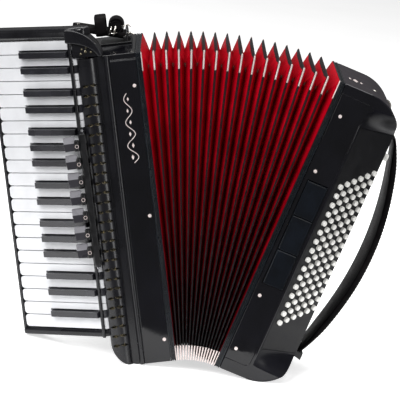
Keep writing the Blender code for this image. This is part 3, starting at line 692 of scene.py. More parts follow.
# Keys: each takes its width and place from its CAD node
whiteKey = {"nose": 0.135, "thick": 0.014, "cap": 0.0028, "lipBack": 0.0016, "corner": 0.0048, "heel": 0.0885,
            "edge": 0.0008, "side": 0.0003}
blackKey = {"length": 0.088, "rise": 0.009, "edge": 0.0016, "topShare": 0.80, "frontSlope": 0.0045}
tailSection = [(0.006, 0.0), (-0.002, 0.0), (-0.0048, -0.0012), (-0.0076, -0.0038), (-0.0100, -0.0072),
               (-0.0122, -0.0120), (-0.0150, -0.0215), (-0.0120, -0.0215), (-0.0020, -0.0139),
               (0.006, -0.0139)]
whiteNames = sorted(name for name in frame["nodes"] if name.startswith("white_key"))
blackNames = sorted(name for name in frame["nodes"] if name.startswith("black_key"))
blackSpans = [(low.z, high.z) for low, high in (spanOf(name, keyHome) for name in blackNames)]


def keyPlan(low, high, tailLow, tailHigh, nose):
    radius = whiteKey["corner"]
    outline = [(0.0, tailLow), (whiteKey["heel"], tailLow)]
    if tailLow > low:
        outline.append((whiteKey["heel"], low))
    outline += arc((nose - radius, low + radius), radius, -90, 0, 6)
    outline += arc((nose - radius, high - radius), radius, 0, 90, 6)
    if tailHigh < high:
        outline.append((whiteKey["heel"], high))
    return outline + [(whiteKey["heel"], tailHigh), (0.0, tailHigh)]


def makeWhiteKey(name):
    corners = spanOf(name, keyHome)
    low, high = corners[0].z, corners[1].z
    tailLow, tailHigh = low, high
    for blackLow, blackHigh in blackSpans:
        if blackLow < high < blackHigh:
            tailHigh = blackLow - 0.0008
        if blackLow < low < blackHigh:
            tailLow = blackHigh + 0.0008
    cap = whiteKey["side"]
    plan = keyPlan(low + cap, high - cap, tailLow + cap, tailHigh - cap, whiteKey["nose"])
    key = plate(name + "_shaped", plan, "Y", -whiteKey["cap"], 0)
    under = keyPlan(low, high, tailLow, tailHigh, whiteKey["nose"] - whiteKey["lipBack"])
    carve(key, plate("stick", under, "Y", -whiteKey["thick"], -whiteKey["cap"] + 0.0002), "UNION")
    carve(key, plate("tail", tailSection, "Z", tailLow + 0.0001, tailHigh - 0.0001), "UNION")
    soften(key, whiteKey["edge"], 3)
    settle(key, keyHome)
    dress(key, keyTop, name, "white_keys", name)


def makeBlackKey(name):
    corners = spanOf(name, keyHome)
    low, high = corners[0].z, corners[1].z
    key = block(name + "_shaped", (0.003, -whiteKey["thick"], low),
                (blackKey["length"], blackKey["rise"], high))
    facesWhere(key, lambda face: face.normal.y > 0.9)
    bpy.ops.transform.resize(value=(1, 1, blackKey["topShare"]))
    bpy.ops.object.mode_set(mode="OBJECT")
    for vertex in key.data.vertices:
        if vertex.co.y > 0 and vertex.co.x > 0.05:
            vertex.co.x -= blackKey["frontSlope"]
    carve(key, plate("tail", tailSection, "Z", low + 0.0002, high - 0.0002), "UNION")
    soften(key, blackKey["edge"], 4, 40)
    settle(key, keyHome)
    dress(key, keyBlack, name, "black_keys", name)


for name in whiteNames:
    makeWhiteKey(name)
for name in blackNames:
    makeBlackKey(name)
print("keys made")


# Keyboard frame: bed, front lip, end cheeks, rail across the keys, hood over the case, tab brackets
frameLow, frameHigh = 0.0455, 0.4985
keysLow, keysHigh = 0.0575, 0.4865
bed = {"front": 0.142, "lip": 0.005, "out": -0.022, "under": -0.030}
hood = {"left": -0.105, "front": -0.1010, "back": -0.052, "middle": (-0.112, 0.452),
        "outer": (0.0580, 0.0515), "inner": (0.0530, 0.0320), "top": 0.5035}
tabs = {"count": 7, "pitch": 0.0262, "lowest": 0.176, "shaftX": -0.0965, "shaftY": -0.1015, "lean": 0.12}


def makeKeyboardFrame():
    far = bed["front"]
    section = [(far, bed["under"]), (far, -0.001), (far - bed["lip"], -0.001), (far - bed["lip"], bed["out"]),
               (-0.001, bed["out"]), (-0.001, bed["under"])]
    board = plate("keyboardBed", section, "Z", frameLow, frameHigh)
    soften(board, 0.0012, 3)
    settle(board, keyHome)
    cheekShape = [(far, bed["under"]), *arc((far - 0.006, -0.003), 0.006, 0, 90, 8), (0.004, 0.003),
                  (-0.001, 0.0025), (-0.010, -0.006), (-0.020, -0.010), (-0.020, bed["under"])]
    cheeks = []
    for low, high in ((frameLow, keysLow - 0.0015), (keysHigh + 0.0015, hood["top"])):
        cheek = plate("cheek", cheekShape, "Z", low, high)
        soften(cheek, 0.44 * (high - low), 6)
        settle(cheek, keyHome)
        cheeks.append(cheek)
    railShape = [(0.0020, 0.0013), (0.0020, 0.0032), (0.0010, 0.0042), (-0.0020, 0.0042), (-0.0030, 0.0032),
                 (-0.0030, 0.0013)]
    rail = plate("rail", railShape, "Z", frameLow, frameHigh)
    soften(rail, 0.0005, 2)
    settle(rail, keyHome)
    whole = joined("keyboardFrame", [board, *cheeks, rail, makeHood(), *makeTabBrackets()])
    dress(whole, softLacquer, "treble", "keyboard_black", "keyboard_frame")


def oval(middle, sizes, start, end, steps):
    circle = arc((0, 0), 1, start, end, steps)
    return [(middle[0] + sizes[0] * x, middle[1] + sizes[1] * z) for x, z in circle]


# Arched head of the keyboard over the case, a dark floor inside it, and a wall behind
def makeHood():
    outer = oval(hood["middle"], hood["outer"], 9, 83, 20)
    inner = oval(hood["middle"], hood["inner"], 83, 14, 20)
    arch = plate("hood", [*outer, *inner], "Y", hood["front"], hood["back"])
    applied(arch, "BEVEL", width=0.0032, segments=5, limit_method="ANGLE", angle_limit=math.radians(60))
    smooth(arch, 50)
    inside = oval(hood["middle"], [size + 0.001 for size in hood["inner"]], 13, 74, 14)
    floor = plate("hoodFloor", [*inside, (-0.0972, caseHeight + 0.0008), (-0.0600, caseHeight + 0.0008)], "Y",
                  -0.0930, -0.0912)
    soften(floor, 0.0004, 2)
    behind = oval(hood["middle"], [size - 0.001 for size in hood["outer"]], 10, 83, 16)
    wall = plate("hoodWall", [*behind, (hood["left"], caseHeight), (-0.0560, caseHeight)], "Y",
                 hood["back"] - 0.004, hood["back"] + 0.0005)
    soften(wall, 0.0006, 2)
    return settle(joined("hood", [arch, floor, wall]), trebleHome)


# Small bright fixings in the dark floor of the head
def makeHoodScrews():
    head = turned("hoodScrew", [(0, 0), (0.0017, 0), (0.0016, 0.0007), (0.0009, 0.0011), (0, 0.0012)], 12)
    smooth(head, 40, weighted=False)
    turn = Matrix.Rotation(math.radians(90), 4, "X")
    spots = ((-0.0850, 0.4655, 1.0), (-0.0780, 0.4680, 1.25), (-0.0705, 0.4665, 1.0), (-0.0765, 0.4735, 0.8),
             (-0.0670, 0.4725, 0.7), (-0.0830, 0.4720, 0.7))
    places = [Matrix.Translation((x, -0.0930, z)) @ turn @ Matrix.Scale(size, 4) for x, z, size in spots]
    screws = repeated("hoodScrews", head, places)
    settle(screws, trebleHome)
    dress(screws, gilt, "treble", "steel")


def makeTabBrackets():
    made = []
    for z in (tabs["lowest"] - tabs["pitch"] * 0.75, tabs["lowest"] + tabs["pitch"] * (tabs["count"] - 0.25)):
        x, y = tabs["shaftX"], tabs["shaftY"]
        ear = [(-0.1015, -0.0905), (-0.0935, -0.0905), (x + 0.0038, y), *arc((x, y), 0.0038, 0, -180, 10)]
        bracket = plate("ear", ear, "Z", z - 0.0022, z + 0.0022)
        soften(bracket, 0.0007, 2)
        made.append(settle(bracket, trebleHome))
    return made


# Rocker tabs of pearl acetate: painted light on the upper facet, painted shade on the front, a black end with
# a ring on it
def makeTabs():
    x, y = tabs["shaftX"] - 0.0045, tabs["shaftY"]
    section = [(y - 0.0056, -0.0072), (y - 0.0066, 0.0040), (y - 0.0004, 0.0122), (y + 0.0036, 0.0122),
               (y + 0.0036, -0.0072)]
    tab = plate("tab", section, "X", x - 0.0234, x - 0.0070)
    for vertex in tab.data.vertices:
        vertex.co.y += tabs["lean"] * (vertex.co.x - x)
        if vertex.co.x < x - 0.01 and vertex.co.z < 0:
            vertex.co.x += 0.0014
    soften(tab, 0.0006, 3, 20)
    tab.data.materials.append(tabPaintedLit)
    tab.data.materials.append(tabPaintedShade)
    # Painted light and shade: faces that look up get the lighter copy, the others the darker one
    for face in tab.data.polygons:
        face.material_index = 0 if face.normal.z > 0.35 else 1
    end = [(x - 0.0008, y - 0.0040), (x - 0.0014, y + 0.0026), (x - 0.0084, y + 0.0020),
           (x - 0.0084, y - 0.0078), (x - 0.0060, y - 0.0090), (x - 0.0022, y - 0.0082)]
    cap = plate("tabEnd", end, "Z", -0.0082, 0.0072)
    soften(cap, 0.0012, 3, 25)
    profile = [(0.0021, 0), (0.0027, 0), (0.0027, 0.0003), (0.0021, 0.0003), (0.0021, 0)]
    mark = turned("ring", profile, 20)
    facing = Matrix.Rotation(math.radians(90), 4, "X")
    settle(mark, Matrix.Translation((x - 0.0048, y - 0.0091, -0.0006)) @ facing)
    heights = [tabs["lowest"] + 0.0030 + i * tabs["pitch"] for i in range(tabs["count"])]
    places = [Matrix.Translation((0, 0, height)) for height in heights]
    low = tabs["lowest"] - tabs["pitch"] * 0.75 - 0.005
    high = tabs["lowest"] + tabs["pitch"] * (tabs["count"] - 0.25) + 0.005
    centre = tabs["shaftX"]
    shaft = tube("shaft", [(centre, y, low), (centre, y, (low + high) / 2), (centre, y, high)], 0.0018, 14)
    smooth(shaft, 50, weighted=False)
    near, far = (centre - 0.0042, y - 0.0040, low + 0.006), (centre + 0.0042, y + 0.0030, high - 0.006)
    rocker = block("tabBar", near, far)
    soften(rocker, 0.0009, 3)
    for model, name, material, slot, extra in ((tab, "tabWedges", None, "tabs", ["treble_registers"]),
                                               (cap, "tabEnds", enamel, "tabs", []),
                                               (mark, "tabRings", cornerMetal, "tabs", [])):
        made = repeated(name, model, places)
        settle(made, trebleHome)
        dress(made, material, "treble_registers", slot, *extra)
    for piece, material in ((shaft, drawnSteel), (rocker, enamel)):
        settle(piece, trebleHome)
        dress(piece, material, "treble_registers", "tabs")


makeKeyboardFrame()
makeHoodScrews()
makeTabs()
print("keyboard frame and tabs made")


# Bellows: the folds fan about the line where the planes of the two end faces meet, below the instrument
bellows = {"folds": 16, "depth": 0.0232, "ridgeInset": 0.0008, "ripple": 0.04, "leaf": 0.0008, "rows": 3,
           "seed": 7}
opening = bassAngle - trebleAngle
fanStep = opening / bellows["folds"]
fanRadius = (bassHome.translation - trebleHome.translation).length / (2 * math.sin(opening / 2))
fanCentre = trebleHome @ Matrix.Translation((0, 0, -fanRadius))
ripple = random.Random(bellows["seed"])
ripplePhases = [ripple.uniform(0, math.tau) for flank in range(bellows["folds"] * 2 + 2)]
bellowsCorners = [Vector((front, 0)), Vector((front, caseHeight)), Vector((halfDepth, caseHeight)),
                  Vector((halfDepth, 0))]


def bellowsPoint(fold, flat, inset):
    y = flat[0] * (1 - inset / halfDepth)
    z = caseHeight / 2 + (flat[1] - caseHeight / 2) * (1 - 2 * inset / caseHeight)
    return fanCentre @ Matrix.Rotation(fold * fanStep, 4, "Y") @ Vector((0, y, z + fanRadius))


def foldShare(point):
    flat = fanCentre.inverted() @ point
    return math.atan2(flat.x, flat.z) / fanStep


# Bakes a piece's placement into its mesh and works out each point's share of the eight folds; the shares are
# not used, so the piece does not bend
def bindToFolds(piece, first):
    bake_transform(piece)
    shares = [min(max((foldShare(vertex.co) - first) / 8, 0), 1) for vertex in piece.data.vertices]


def perimeter(near, between):
    points = []
    for i, start in enumerate(bellowsCorners):
        end = bellowsCorners[(i + 1) % 4]
        length = (end - start).length
        middle = [near[-1] + (length - 2 * near[-1]) * k / between for k in range(1, between)]
        far = [length - distance for distance in reversed(near[1:])]
        points += [start.lerp(end, distance / length) for distance in (*near, *middle, *far)]
    return points


def makeLeaves(name, first, node):
    stations = perimeter((0, 0.008, 0.018, 0.030), 14)
    around = len(stations)
    rows = 16 * bellows["rows"]

    def place(u, v):
        station = round(u * around) % around
        fold = first + 8 * v
        away = 2 * abs(fold - round(fold))
        flank = int(fold * 2 - 0.0001)
        slow = math.sin(station * 0.7 + ripplePhases[flank + 1])
        wave = math.sin(station * 1.9 + ripplePhases[flank]) + 0.6 * slow
        shift = bellows["ripple"] * wave * away * (1 - away) if 0.01 < away < 0.99 else 0
        return bellowsPoint(fold + shift, stations[station], bellows["ridgeInset"] + bellows["depth"] * away)

    leaves = lattice(name, around, rows, place)
    for corner in leaves.data.uv_layers.active.data:
        corner.uv = (corner.uv[0] * 1.298, corner.uv[1] * 0.371)
    closeSeams(leaves)
    applied(leaves, "SOLIDIFY", thickness=bellows["leaf"], offset=0)
    closeSeams(leaves, 0.000001)
    smooth(leaves, 25, weighted=False)
    leaves.data.materials.append(leafCloth)
    bindToFolds(leaves, first)
    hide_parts(node)


# A strip folded over one ridge, or pressed into one valley; depths gives its reach along the path
def foldedStrip(name, fold, path, depths, lift, thick):
    flanks = (-1, -0.66, -0.33, -0.06, 0, 0.06, 0.33, 0.66, 1)
    valley = fold != round(fold)
    rows = len(path) - 1

    def place(u, v):
        share = flanks[round(u * 8)]
        flat = path[round(v * rows)]
        depth = abs(share) * depths[round(v * rows)]
        inset = bellows["ridgeInset"] + (bellows["depth"] - depth if valley else depth)
        if share == 0 or valley:
            inset -= lift
        turn = depth / (2 * bellows["depth"])
        if not valley:
            turn += lift / (fanStep * (flat[1] + fanRadius))
        return bellowsPoint(fold + math.copysign(turn, share) * (share != 0), flat, inset)

    strip = lattice(name, 8, rows, place)
    applied(strip, "SOLIDIFY", thickness=thick, offset=0)
    closeSeams(strip, 0.000001)
    return strip


tape = {"lift": 0.00055, "thick": 0.0003, "depth": 0.0032, "capDepth": 0.0055, "gusset": 0.036}


# The tape reaches further down over the short sides, and less so at their corners
def capReach(fromCorner):
    return tape["capDepth"] * (0.55 + 0.45 * min(1, fromCorner / tape["gusset"]))


def tapeStrips(fold):
    strips = []
    for i, start in enumerate(bellowsCorners):
        end = bellowsCorners[(i + 1) % 4]
        length = (end - start).length
        near = [0, 0.009, 0.018, 0.027, tape["gusset"]]
        plain = length - 2 * tape["gusset"]
        stops = near + [tape["gusset"] + plain * k / 8 for k in range(1, 8)]
        stops += [length - stop for stop in near[::-1]]
        path = [start.lerp(end, stop / length) for stop in stops]
        depths = [tape["depth"] if i % 2 == 0 else capReach(min(stop, length - stop)) for stop in stops]
        strips.append(foldedStrip("tapeStrip", fold, path, depths, tape["lift"], tape["thick"]))
    return strips


# Bright metal strips over the corners of every fold
cornerStrip = {"top": 0.027, "bottom": 0.022, "return": 0.0045, "depth": 0.0006, "lowDepth": 0.0001,
               "lift": 0.00085, "thick": 0.0003}


def cornerStrips(fold):
    strips = []
    for face in (front, halfDepth):
        for height, inward, long in ((caseHeight, -1, cornerStrip["top"]), (0, 1, cornerStrip["bottom"])):
            path = [Vector((face, height + inward * long * k / 5)) for k in range(5, 0, -1)]
            path += [Vector((face, height + inward * 0.0006)), Vector((face * 0.9935, height))]
            path += [Vector((face * (1 - cornerStrip["return"] / halfDepth), height))]
            deep = cornerStrip["depth"] if inward < 0 else cornerStrip["lowDepth"]
            depths = [deep * share for share in (0.6, 1, 1, 1, 1, 1, 1, 0.7)]
            lift, thick = cornerStrip["lift"], cornerStrip["thick"]
            strips.append(foldedStrip("cornerStrip", fold, path, depths, lift, thick))
    return strips


# Small clips pressed over the inner corners, where two leaves meet
valleyClip = {"start": 0.0005, "long": 0.0045, "depth": 0.0038, "narrowing": 0.22, "lift": 0.0008,
              "thick": 0.0005}


def valleyClips(fold):
    clips = []
    for face in (front, halfDepth):
        for height, inward in ((caseHeight, -1), (0, 1)):
            stops = [valleyClip["start"] + valleyClip["long"] * k / 3 for k in range(4)]
            path = [Vector((face, height + inward * stop)) for stop in stops]
            depths = [valleyClip["depth"] * (1 - valleyClip["narrowing"] * k) for k in range(4)]
            lift, thick = valleyClip["lift"], valleyClip["thick"]
            clips.append(foldedStrip("valleyClip", fold, path, depths, lift, thick))
    return clips


def finishStrips(name, strips, material):
    whole = joined(name, strips)
    smooth(whole, 40)
    whole.data.materials.append(material)
    return whole


def makeFoldFittings():
    for first, label in ((0, "Treble"), (8, "Bass")):
        ridges = range(first + 1, first + 8)
        valleys = [first + k + 0.5 for k in range(8)]
        tapes = [strip for fold in ridges for strip in tapeStrips(fold)]
        tapes = finishStrips("tapes" + label, tapes, tapeVinyl)
        strips = [strip for fold in ridges for strip in cornerStrips(fold)]
        strips = finishStrips("cornerStrips" + label, strips, cornerMetal)
        clips = [clip for fold in valleys for clip in valleyClips(fold)]
        clips = finishStrips("valleyClips" + label, clips, nickel)
        for piece in (tapes, strips, clips):
            bindToFolds(piece, first)
    middle = finishStrips("tapeMiddle", tapeStrips(8), tapeVinyl)
    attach(middle, "bellows_middle")
    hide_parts("bellows_rib")
    for fold, body in ((0, "treble"), (8, "bellows_middle"), (16, "bass")):
        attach(finishStrips("cornerStrips_" + body, cornerStrips(fold), cornerMetal), body)


# Wooden end frames, lacquered, with a fine groove all round
bellowsRing = {"thick": 0.008, "wide": 0.012, "groove": 0.0013}
# Stained and varnished beech, blue-black
ringVarnish = grainedFinish("varnishedBeech", ("#0a0e13", "#11161d"), (0.18, 0.32), 0.02, 0.6 * mm,
                            (0.1, 0.0001))


def ringOutline(inset):
    low, high = front + inset, halfDepth - inset
    return [(low, inset), (high, inset), (high, caseHeight - inset), (low, caseHeight - inset)]


def makeBellowsRing(name, home, side, body, node):
    far = side * bellowsRing["thick"]
    ring = plate(name, ringOutline(0), "X", min(0, far), max(0, far))
    carve(ring, plate("opening", ringOutline(bellowsRing["wide"]), "X", -0.02, 0.02))
    for share in (0.36, 0.64):
        middle = far * share
        half = bellowsRing["groove"] / 2
        groove = plate("groove", ringOutline(-0.002), "X", middle - half, middle + half)
        carve(groove, plate("core", ringOutline(0.0011), "X", middle - 0.002, middle + 0.002))
        carve(ring, groove)
    applied(ring, "BEVEL", width=0.0005, segments=2, limit_method="ANGLE")
    smooth(ring, 40)
    settle(ring, home)
    dress(ring, ringVarnish, body, "case_lacquer", node)


makeLeaves("leavesTreble", 0, "bellows_leaves_treble")
makeLeaves("leavesBass", 8, "bellows_leaves_bass")
makeFoldFittings()
makeBellowsRing("trebleRing", trebleHome, -1, "treble", "bellows_frame_treble")
makeBellowsRing("bassRing", bassHome, 1, "bass", "bellows_frame_bass")
print("bellows made")


# Bass case: rounded outer ends, grooved front, and a moulded hollow that sweeps down to the button board
bassCase = {"left": 0.0083, "right": 0.113, "corner": 0.062, "wall": 0.005, "skin": 0.0075, "edge": 0.0022,
            "low": 0.050, "high": 0.408, "sweep": 0.036, "sweepLow": 0.030}
boardLine = {"innerX": 0.052, "outerX": 0.113, "rise": 0.063, "start": 0.0034, "thick": 0.004}
boardSlope = boardLine["rise"] / (boardLine["outerX"] - boardLine["innerX"])
boardWidth = math.hypot(boardLine["rise"], boardLine["outerX"] - boardLine["innerX"])
boardLean = Matrix.Rotation(math.atan(boardSlope), 4, "Z")
boardTurn = Matrix.Translation((boardLine["innerX"], front, 0)) @ boardLean
registers = {"left": 0.0155, "right": 0.0465, "low": 0.143, "high": 0.309, "count": 3}
airButton = {"y": -0.020, "z": 0.372, "radius": 0.0055, "reach": 0.120}
wheel = {"x": 0.0892, "z": 0.4352, "y": 0.026, "radius": 0.011, "width": 0.008, "ribs": 24}


def bassOutline(inset, left):
    radius = bassCase["corner"] - inset
    right, low, high = bassCase["right"] - inset, inset, caseHeight - inset
    lower = arc((right - radius, low + radius), radius, 270, 360, 20)
    upper = arc((right - radius, high - radius), radius, 0, 90, 20)
    return [(left, low), *lower, *upper, (left, high)]


# The same celluloid, buffed less: the moulded hollow blurs what it mirrors
softGloss = grainedFinish("softGlossCelluloid", ("#0d0d11", "#15151b"), (0.30, 0.42), 0.03, 0.5 * mm,
                          (0.05, 0.0001), Specular_IOR_Level=0.14)
# Sunk flat panel of the front, with a lobe at either end beside the moulded hollow
bassPanel = [(0.0095, 0.018), (0.040, 0.018), *arc((0.040, 0.026), 0.008, -90, 0, 6), (0.0485, 0.044),
             (0.0500, 0.060), (0.0500, 0.400), (0.0515, 0.409), (0.0572, 0.4195), (0.0618, 0.4270),
             *arc((0.0545, 0.4345), 0.0088, -20, 90, 8), (0.0095, 0.4440)]


def easing(share):
    share = min(max(share, 0), 1)
    return share * share * (3 - 2 * share)


# What the moulded hollow takes away, down to the plane of the board
def sweepCutter():
    low, high = bassCase["low"] - bassCase["sweepLow"] - 0.004, bassCase["high"] + bassCase["sweep"] + 0.004

    def place(u, v):
        x = boardLine["innerX"] - 0.006 + u * 0.076
        z = low + v * (high - low)
        up = easing((bassCase["high"] + bassCase["sweep"] - z) / bassCase["sweep"])
        down = easing((z - bassCase["low"] + bassCase["sweepLow"]) / bassCase["sweepLow"])
        past = x - boardLine["innerX"]
        depth = boardSlope * max(past, 0) * up * down
        return x, front - 0.0006 * (past <= 0 or up * down == 0) + depth, z

    cutter = lattice("sweep", 24, 110, place)
    only(cutter)
    bpy.ops.object.mode_set(mode="EDIT")
    bpy.ops.mesh.select_all(action="SELECT")
    bpy.ops.mesh.extrude_region_move(TRANSFORM_OT_translate={"value": (0, -0.12, 0)})
    bpy.ops.object.mode_set(mode="OBJECT")
    closeSeams(cutter, 0.000001)
    return cutter


def boardBlock(name, left, right, out, deep, low, high):
    return settle(block(name, (left, -out, low), (right, deep, high)), boardTurn)


def makeBassCase():
    case = plate("bassCase", bassOutline(0, bassCase["left"]), "Y", front, halfDepth)
    applied(case, "BEVEL", width=bassCase["edge"], segments=4, limit_method="ANGLE",
            angle_limit=math.radians(60))
    wall, skin = bassCase["wall"], bassCase["skin"]
    behind = boardTurn @ Vector((0, skin, 0))
    nearX = behind.x + (front + wall - behind.y) / boardSlope
    farY = behind.y + (bassCase["right"] - wall - behind.x) * boardSlope
    plan = [(-0.02, front + wall), (nearX, front + wall), (bassCase["right"] - wall, farY),
            (bassCase["right"] - wall, halfDepth - wall), (-0.02, halfDepth - wall)]
    hollow = plate("hollow", plan, "Z", -0.01, caseHeight + 0.01)
    carve(hollow, plate("inside", bassOutline(wall, -0.02), "Y", front - 0.01, halfDepth + 0.01), "INTERSECT")
    carve(case, hollow)
    carve(case, sweepCutter())
    panel = plate("panel", bassPanel, "Y", front - 0.01, front + 0.0011)
    applied(panel, "BEVEL", width=0.0009, segments=3, limit_method="ANGLE", angle_limit=math.radians(60))
    carve(case, panel)
    seat = boardLine["thick"] + 0.0003
    start = boardLine["start"] - 0.0003
    carve(case, boardBlock("seat", start, boardWidth + 0.05, 0.03, seat, bassCase["low"], bassCase["high"]))
    carve(case, boardBlock("window", 0.009, boardWidth - 0.0035, 0.01, 0.03, bassCase["low"] + 0.010,
                           bassCase["high"] - 0.010))
    edge = 0.0007
    carve(case, block("registerWindow", (registers["left"] - edge, front - 0.01, registers["low"] - edge),
                      (registers["right"] + edge, front + 0.02, registers["high"] + edge)))
    way = [(x, airButton["y"], airButton["z"]) for x in (0.09, 0.11, 0.14)]
    air = tube("airHole", way, airButton["radius"] + 0.0006, 28)
    carve(case, air)
    gap = wheel["width"] / 2 + 0.0008
    axle = [(wheel["x"], wheel["y"] + side * gap, wheel["z"]) for side in (-1, 0, 1)]
    slit = tube("wheelSlot", axle, wheel["radius"] + 0.0012, 40)
    carve(case, slit)
    smooth(case, 32)
    case.data.materials.append(lacquer)
    case.data.materials.append(satinShell)
    case.data.materials.append(softGloss)
    for face in case.data.polygons:
        moulded = face.center.x > boardLine["innerX"] and face.center.y < -0.02 and abs(face.normal.y) < 0.995
        face.material_index = 1 if abs(face.normal.y) < 0.3 else 2 if moulded else 0
    settle(case, bassHome)
    dress(case, None, "bass", "case_lacquer", "bass_case")


# Button board and its 96 domed buttons, six slanted rows of sixteen
buttons = {"rows": 6, "columns": 16, "along": 0.0160, "acrossPitch": 0.0125, "z": 0.0953, "pitch": 0.0147,
           "rise": 0.0061, "radius": 0.0041, "proud": 0.0042, "deep": 0.0125}


def buttonPlaces():
    facing = Matrix.Rotation(math.radians(90), 4, "X")
    for column in range(buttons["columns"]):
        for row in range(buttons["rows"]):
            along = buttons["along"] + row * buttons["acrossPitch"]
            height = buttons["z"] + column * buttons["pitch"] + row * buttons["rise"]
            yield boardTurn @ Matrix.Translation((along, 0, height)) @ facing


def makeBoard():
    low, high = bassCase["low"] + 0.0003, bassCase["high"] - 0.0003
    board = block("buttonBoard", (boardLine["start"], 0, low), (boardWidth - 0.001, boardLine["thick"], high))
    soften(board, 0.0006, 2)
    settle(board, boardTurn)
    profile = [(0, -0.012), (0.0045, -0.012), (0.0045, 0.006), (0, 0.006)]
    holes = repeated("holes", turned("hole", profile, 20), list(buttonPlaces()))
    carve(board, holes)
    smooth(board, 40)
    settle(board, bassHome)
    dress(board, boardPlastic, "bass", "board_black", "bass_board")


def makeButtons():
    radius, proud = buttons["radius"], buttons["proud"]
    profile = [(0, -buttons["deep"]), (radius * 0.5, -buttons["deep"]), (radius * 0.5, -0.0045),
               (radius, -0.004), (radius, proud - 0.0010), (radius * 0.95, proud - 0.0004),
               (radius * 0.80, proud - 0.0001), (radius * 0.40, proud), (0, proud)]
    model = turned("button", profile, 16)
    smooth(model, 45, weighted=False)
    studs = repeated("bassButtons", model, list(buttonPlaces()))
    reach = buttons["along"] + (buttons["rows"] - 1) * buttons["acrossPitch"] + 0.005
    top = buttons["z"] + buttons["rise"] * (buttons["rows"] - 1) + 0.008
    top += buttons["pitch"] * (buttons["columns"] - 1)
    lever = block("leverPlate", (0.010, 0.0125, buttons["z"] - 0.008), (reach, 0.0140, top))
    soften(lever, 0.0003, 2)
    settle(lever, boardTurn)
    settle(studs, bassHome)
    settle(lever, bassHome)
    dress(studs, buttonPlastic, "bass_buttons", "buttons", "bass_buttons")
    dress(lever, enamel, "bass_buttons", "buttons")


# Hard gloss of the switches, blue-black
switchGloss = grainedFinish("switchGloss", ("#080b10", "#0e131b"), (0.08, 0.18), 0.03, 0.6 * mm,
                            (0.05, 0.0001))


def makeBassRegisters():
    pitch = (registers["high"] - registers["low"]) / registers["count"]
    near = (registers["left"], front - 0.0008, 0.0005)
    far = (registers["right"], front + 0.0045, pitch - 0.0005)
    switch = block("switch", near, far)
    facesWhere(switch, lambda face: face.normal.y < -0.9)
    for thickness, depth in ((0.0012, 0), (0.0004, -0.0005)):
        bpy.ops.mesh.inset(thickness=thickness, depth=depth)
    bpy.ops.object.mode_set(mode="OBJECT")
    soften(switch, 0.0003, 2)
    places = [Matrix.Translation((0, 0, registers["low"] + i * pitch)) for i in range(registers["count"])]
    switches = repeated("bassSwitches", switch, places)
    bar = block("switchBar", (registers["left"] + 0.006, front + 0.0044, registers["low"] + 0.004),
                (registers["right"] - 0.006, front + 0.0080, registers["high"] - 0.004))
    soften(bar, 0.0003, 2)
    for piece, material, nodes in ((switches, switchGloss, ["bass_registers"]), (bar, enamel, [])):
        settle(piece, bassHome)
        dress(piece, material, "bass_registers", "switches", *nodes)


def makeAirButton():
    radius, reach = airButton["radius"], airButton["reach"]
    inner = 0.105
    profile = [(0, inner), (radius + 0.0015, inner), (radius + 0.0015, inner + 0.002),
               (radius, inner + 0.002), (radius, reach - 0.0022), (radius * 0.93, reach - 0.0011),
               (radius * 0.72, reach - 0.0003), (radius * 0.4, reach), (0, reach)]
    button = turned("airButton", profile, 28)
    smooth(button, 45, weighted=False)
    turn = Matrix.Rotation(math.radians(90), 4, "Y")
    settle(button, bassHome @ Matrix.Translation((0, airButton["y"], airButton["z"])) @ turn)
    dress(button, buttonPlastic, "air_button", "buttons", "air_button")


def makeStrapWheel():
    rim = []
    for i in range(wheel["ribs"] * 4):
        radius = wheel["radius"] - (0.0009 if i % 4 > 1 else 0)
        angle = math.tau * i / (wheel["ribs"] * 4)
        rim.append((wheel["x"] + radius * math.cos(angle), wheel["z"] + radius * math.sin(angle)))
    knob = plate("strapWheel", rim, "Y", wheel["y"] - wheel["width"] / 2, wheel["y"] + wheel["width"] / 2)
    soften(knob, 0.0004, 2)
    axle = [(wheel["x"], wheel["y"] + reach, wheel["z"]) for reach in (-0.01, 0, 0.01)]
    carve(knob, tube("bore", axle, 0.0021, 20))
    settle(knob, bassHome)
    dress(knob, nickel, "strap_wheel", "steel", "strap_wheel")


makeBassCase()
makeBoard()
makeButtons()
makeBassRegisters()
makeAirButton()
makeStrapWheel()
print("bass side made")


# Sections swept one after another, with both ends closed
def loft(name, sections):
    rows = len(sections) - 1
    around = len(sections[0])

    def place(u, v):
        row = round(v * (rows + 2)) - 1
        section = sections[min(max(row, 0), rows)]
        if row < 0 or row > rows:
            return sum(section, Vector()) / around
        return section[round(u * around) % around]

    piece = lattice(name, around, rows + 2, place)
    closeSeams(piece, 0.000005)
    return piece


# Flat band with rounded edges along a path in the X-Z plane, wide across Y
def bandSection(spot, ahead, middle, halfWide, halfThick, twist, corners=5):
    normal = Vector((ahead.z, 0, -ahead.x))
    points = []
    radius = halfThick * 0.92
    for side in (1, -1):
        for i in range(corners + 1):
            angle = math.radians(180 * i / corners - 90 * side)
            across = side * (halfWide - radius) + radius * math.cos(angle)
            out = halfThick * math.sin(angle)
            points.append((across, out))
    section = []
    for across, out in points:
        pillow = 1.0 if abs(across) > halfWide * 0.8 else 1.06
        turnedAcross = across * math.cos(twist) - out * math.sin(twist)
        turnedOut = across * math.sin(twist) + out * math.cos(twist)
        section.append(spot + Vector((0, middle + turnedAcross, 0)) + normal * turnedOut * pillow)
    return section


handStrap = {"bow": 0.036, "out": 0.0065, "low": 0.0475, "long": 0.352, "y": 0.026, "halfWide": 0.030,
             "endThick": 0.0020, "thick": 0.0046, "twist": -7, "rows": 56, "stitches": 62}


def strapSpot(share):
    x = bassCase["right"] + handStrap["out"] + handStrap["bow"] * math.sin(math.pi * share) ** 0.8
    return Vector((x, 0, handStrap["low"] + share * handStrap["long"]))


def strapAhead(share):
    low, high = max(share - 0.01, 0), min(share + 0.01, 1)
    return (strapSpot(high) - strapSpot(low)).normalized()


def strapThick(share):
    swelling = easing(min(share, 1 - share) / 0.14)
    return handStrap["endThick"] + (handStrap["thick"] - handStrap["endThick"]) * swelling


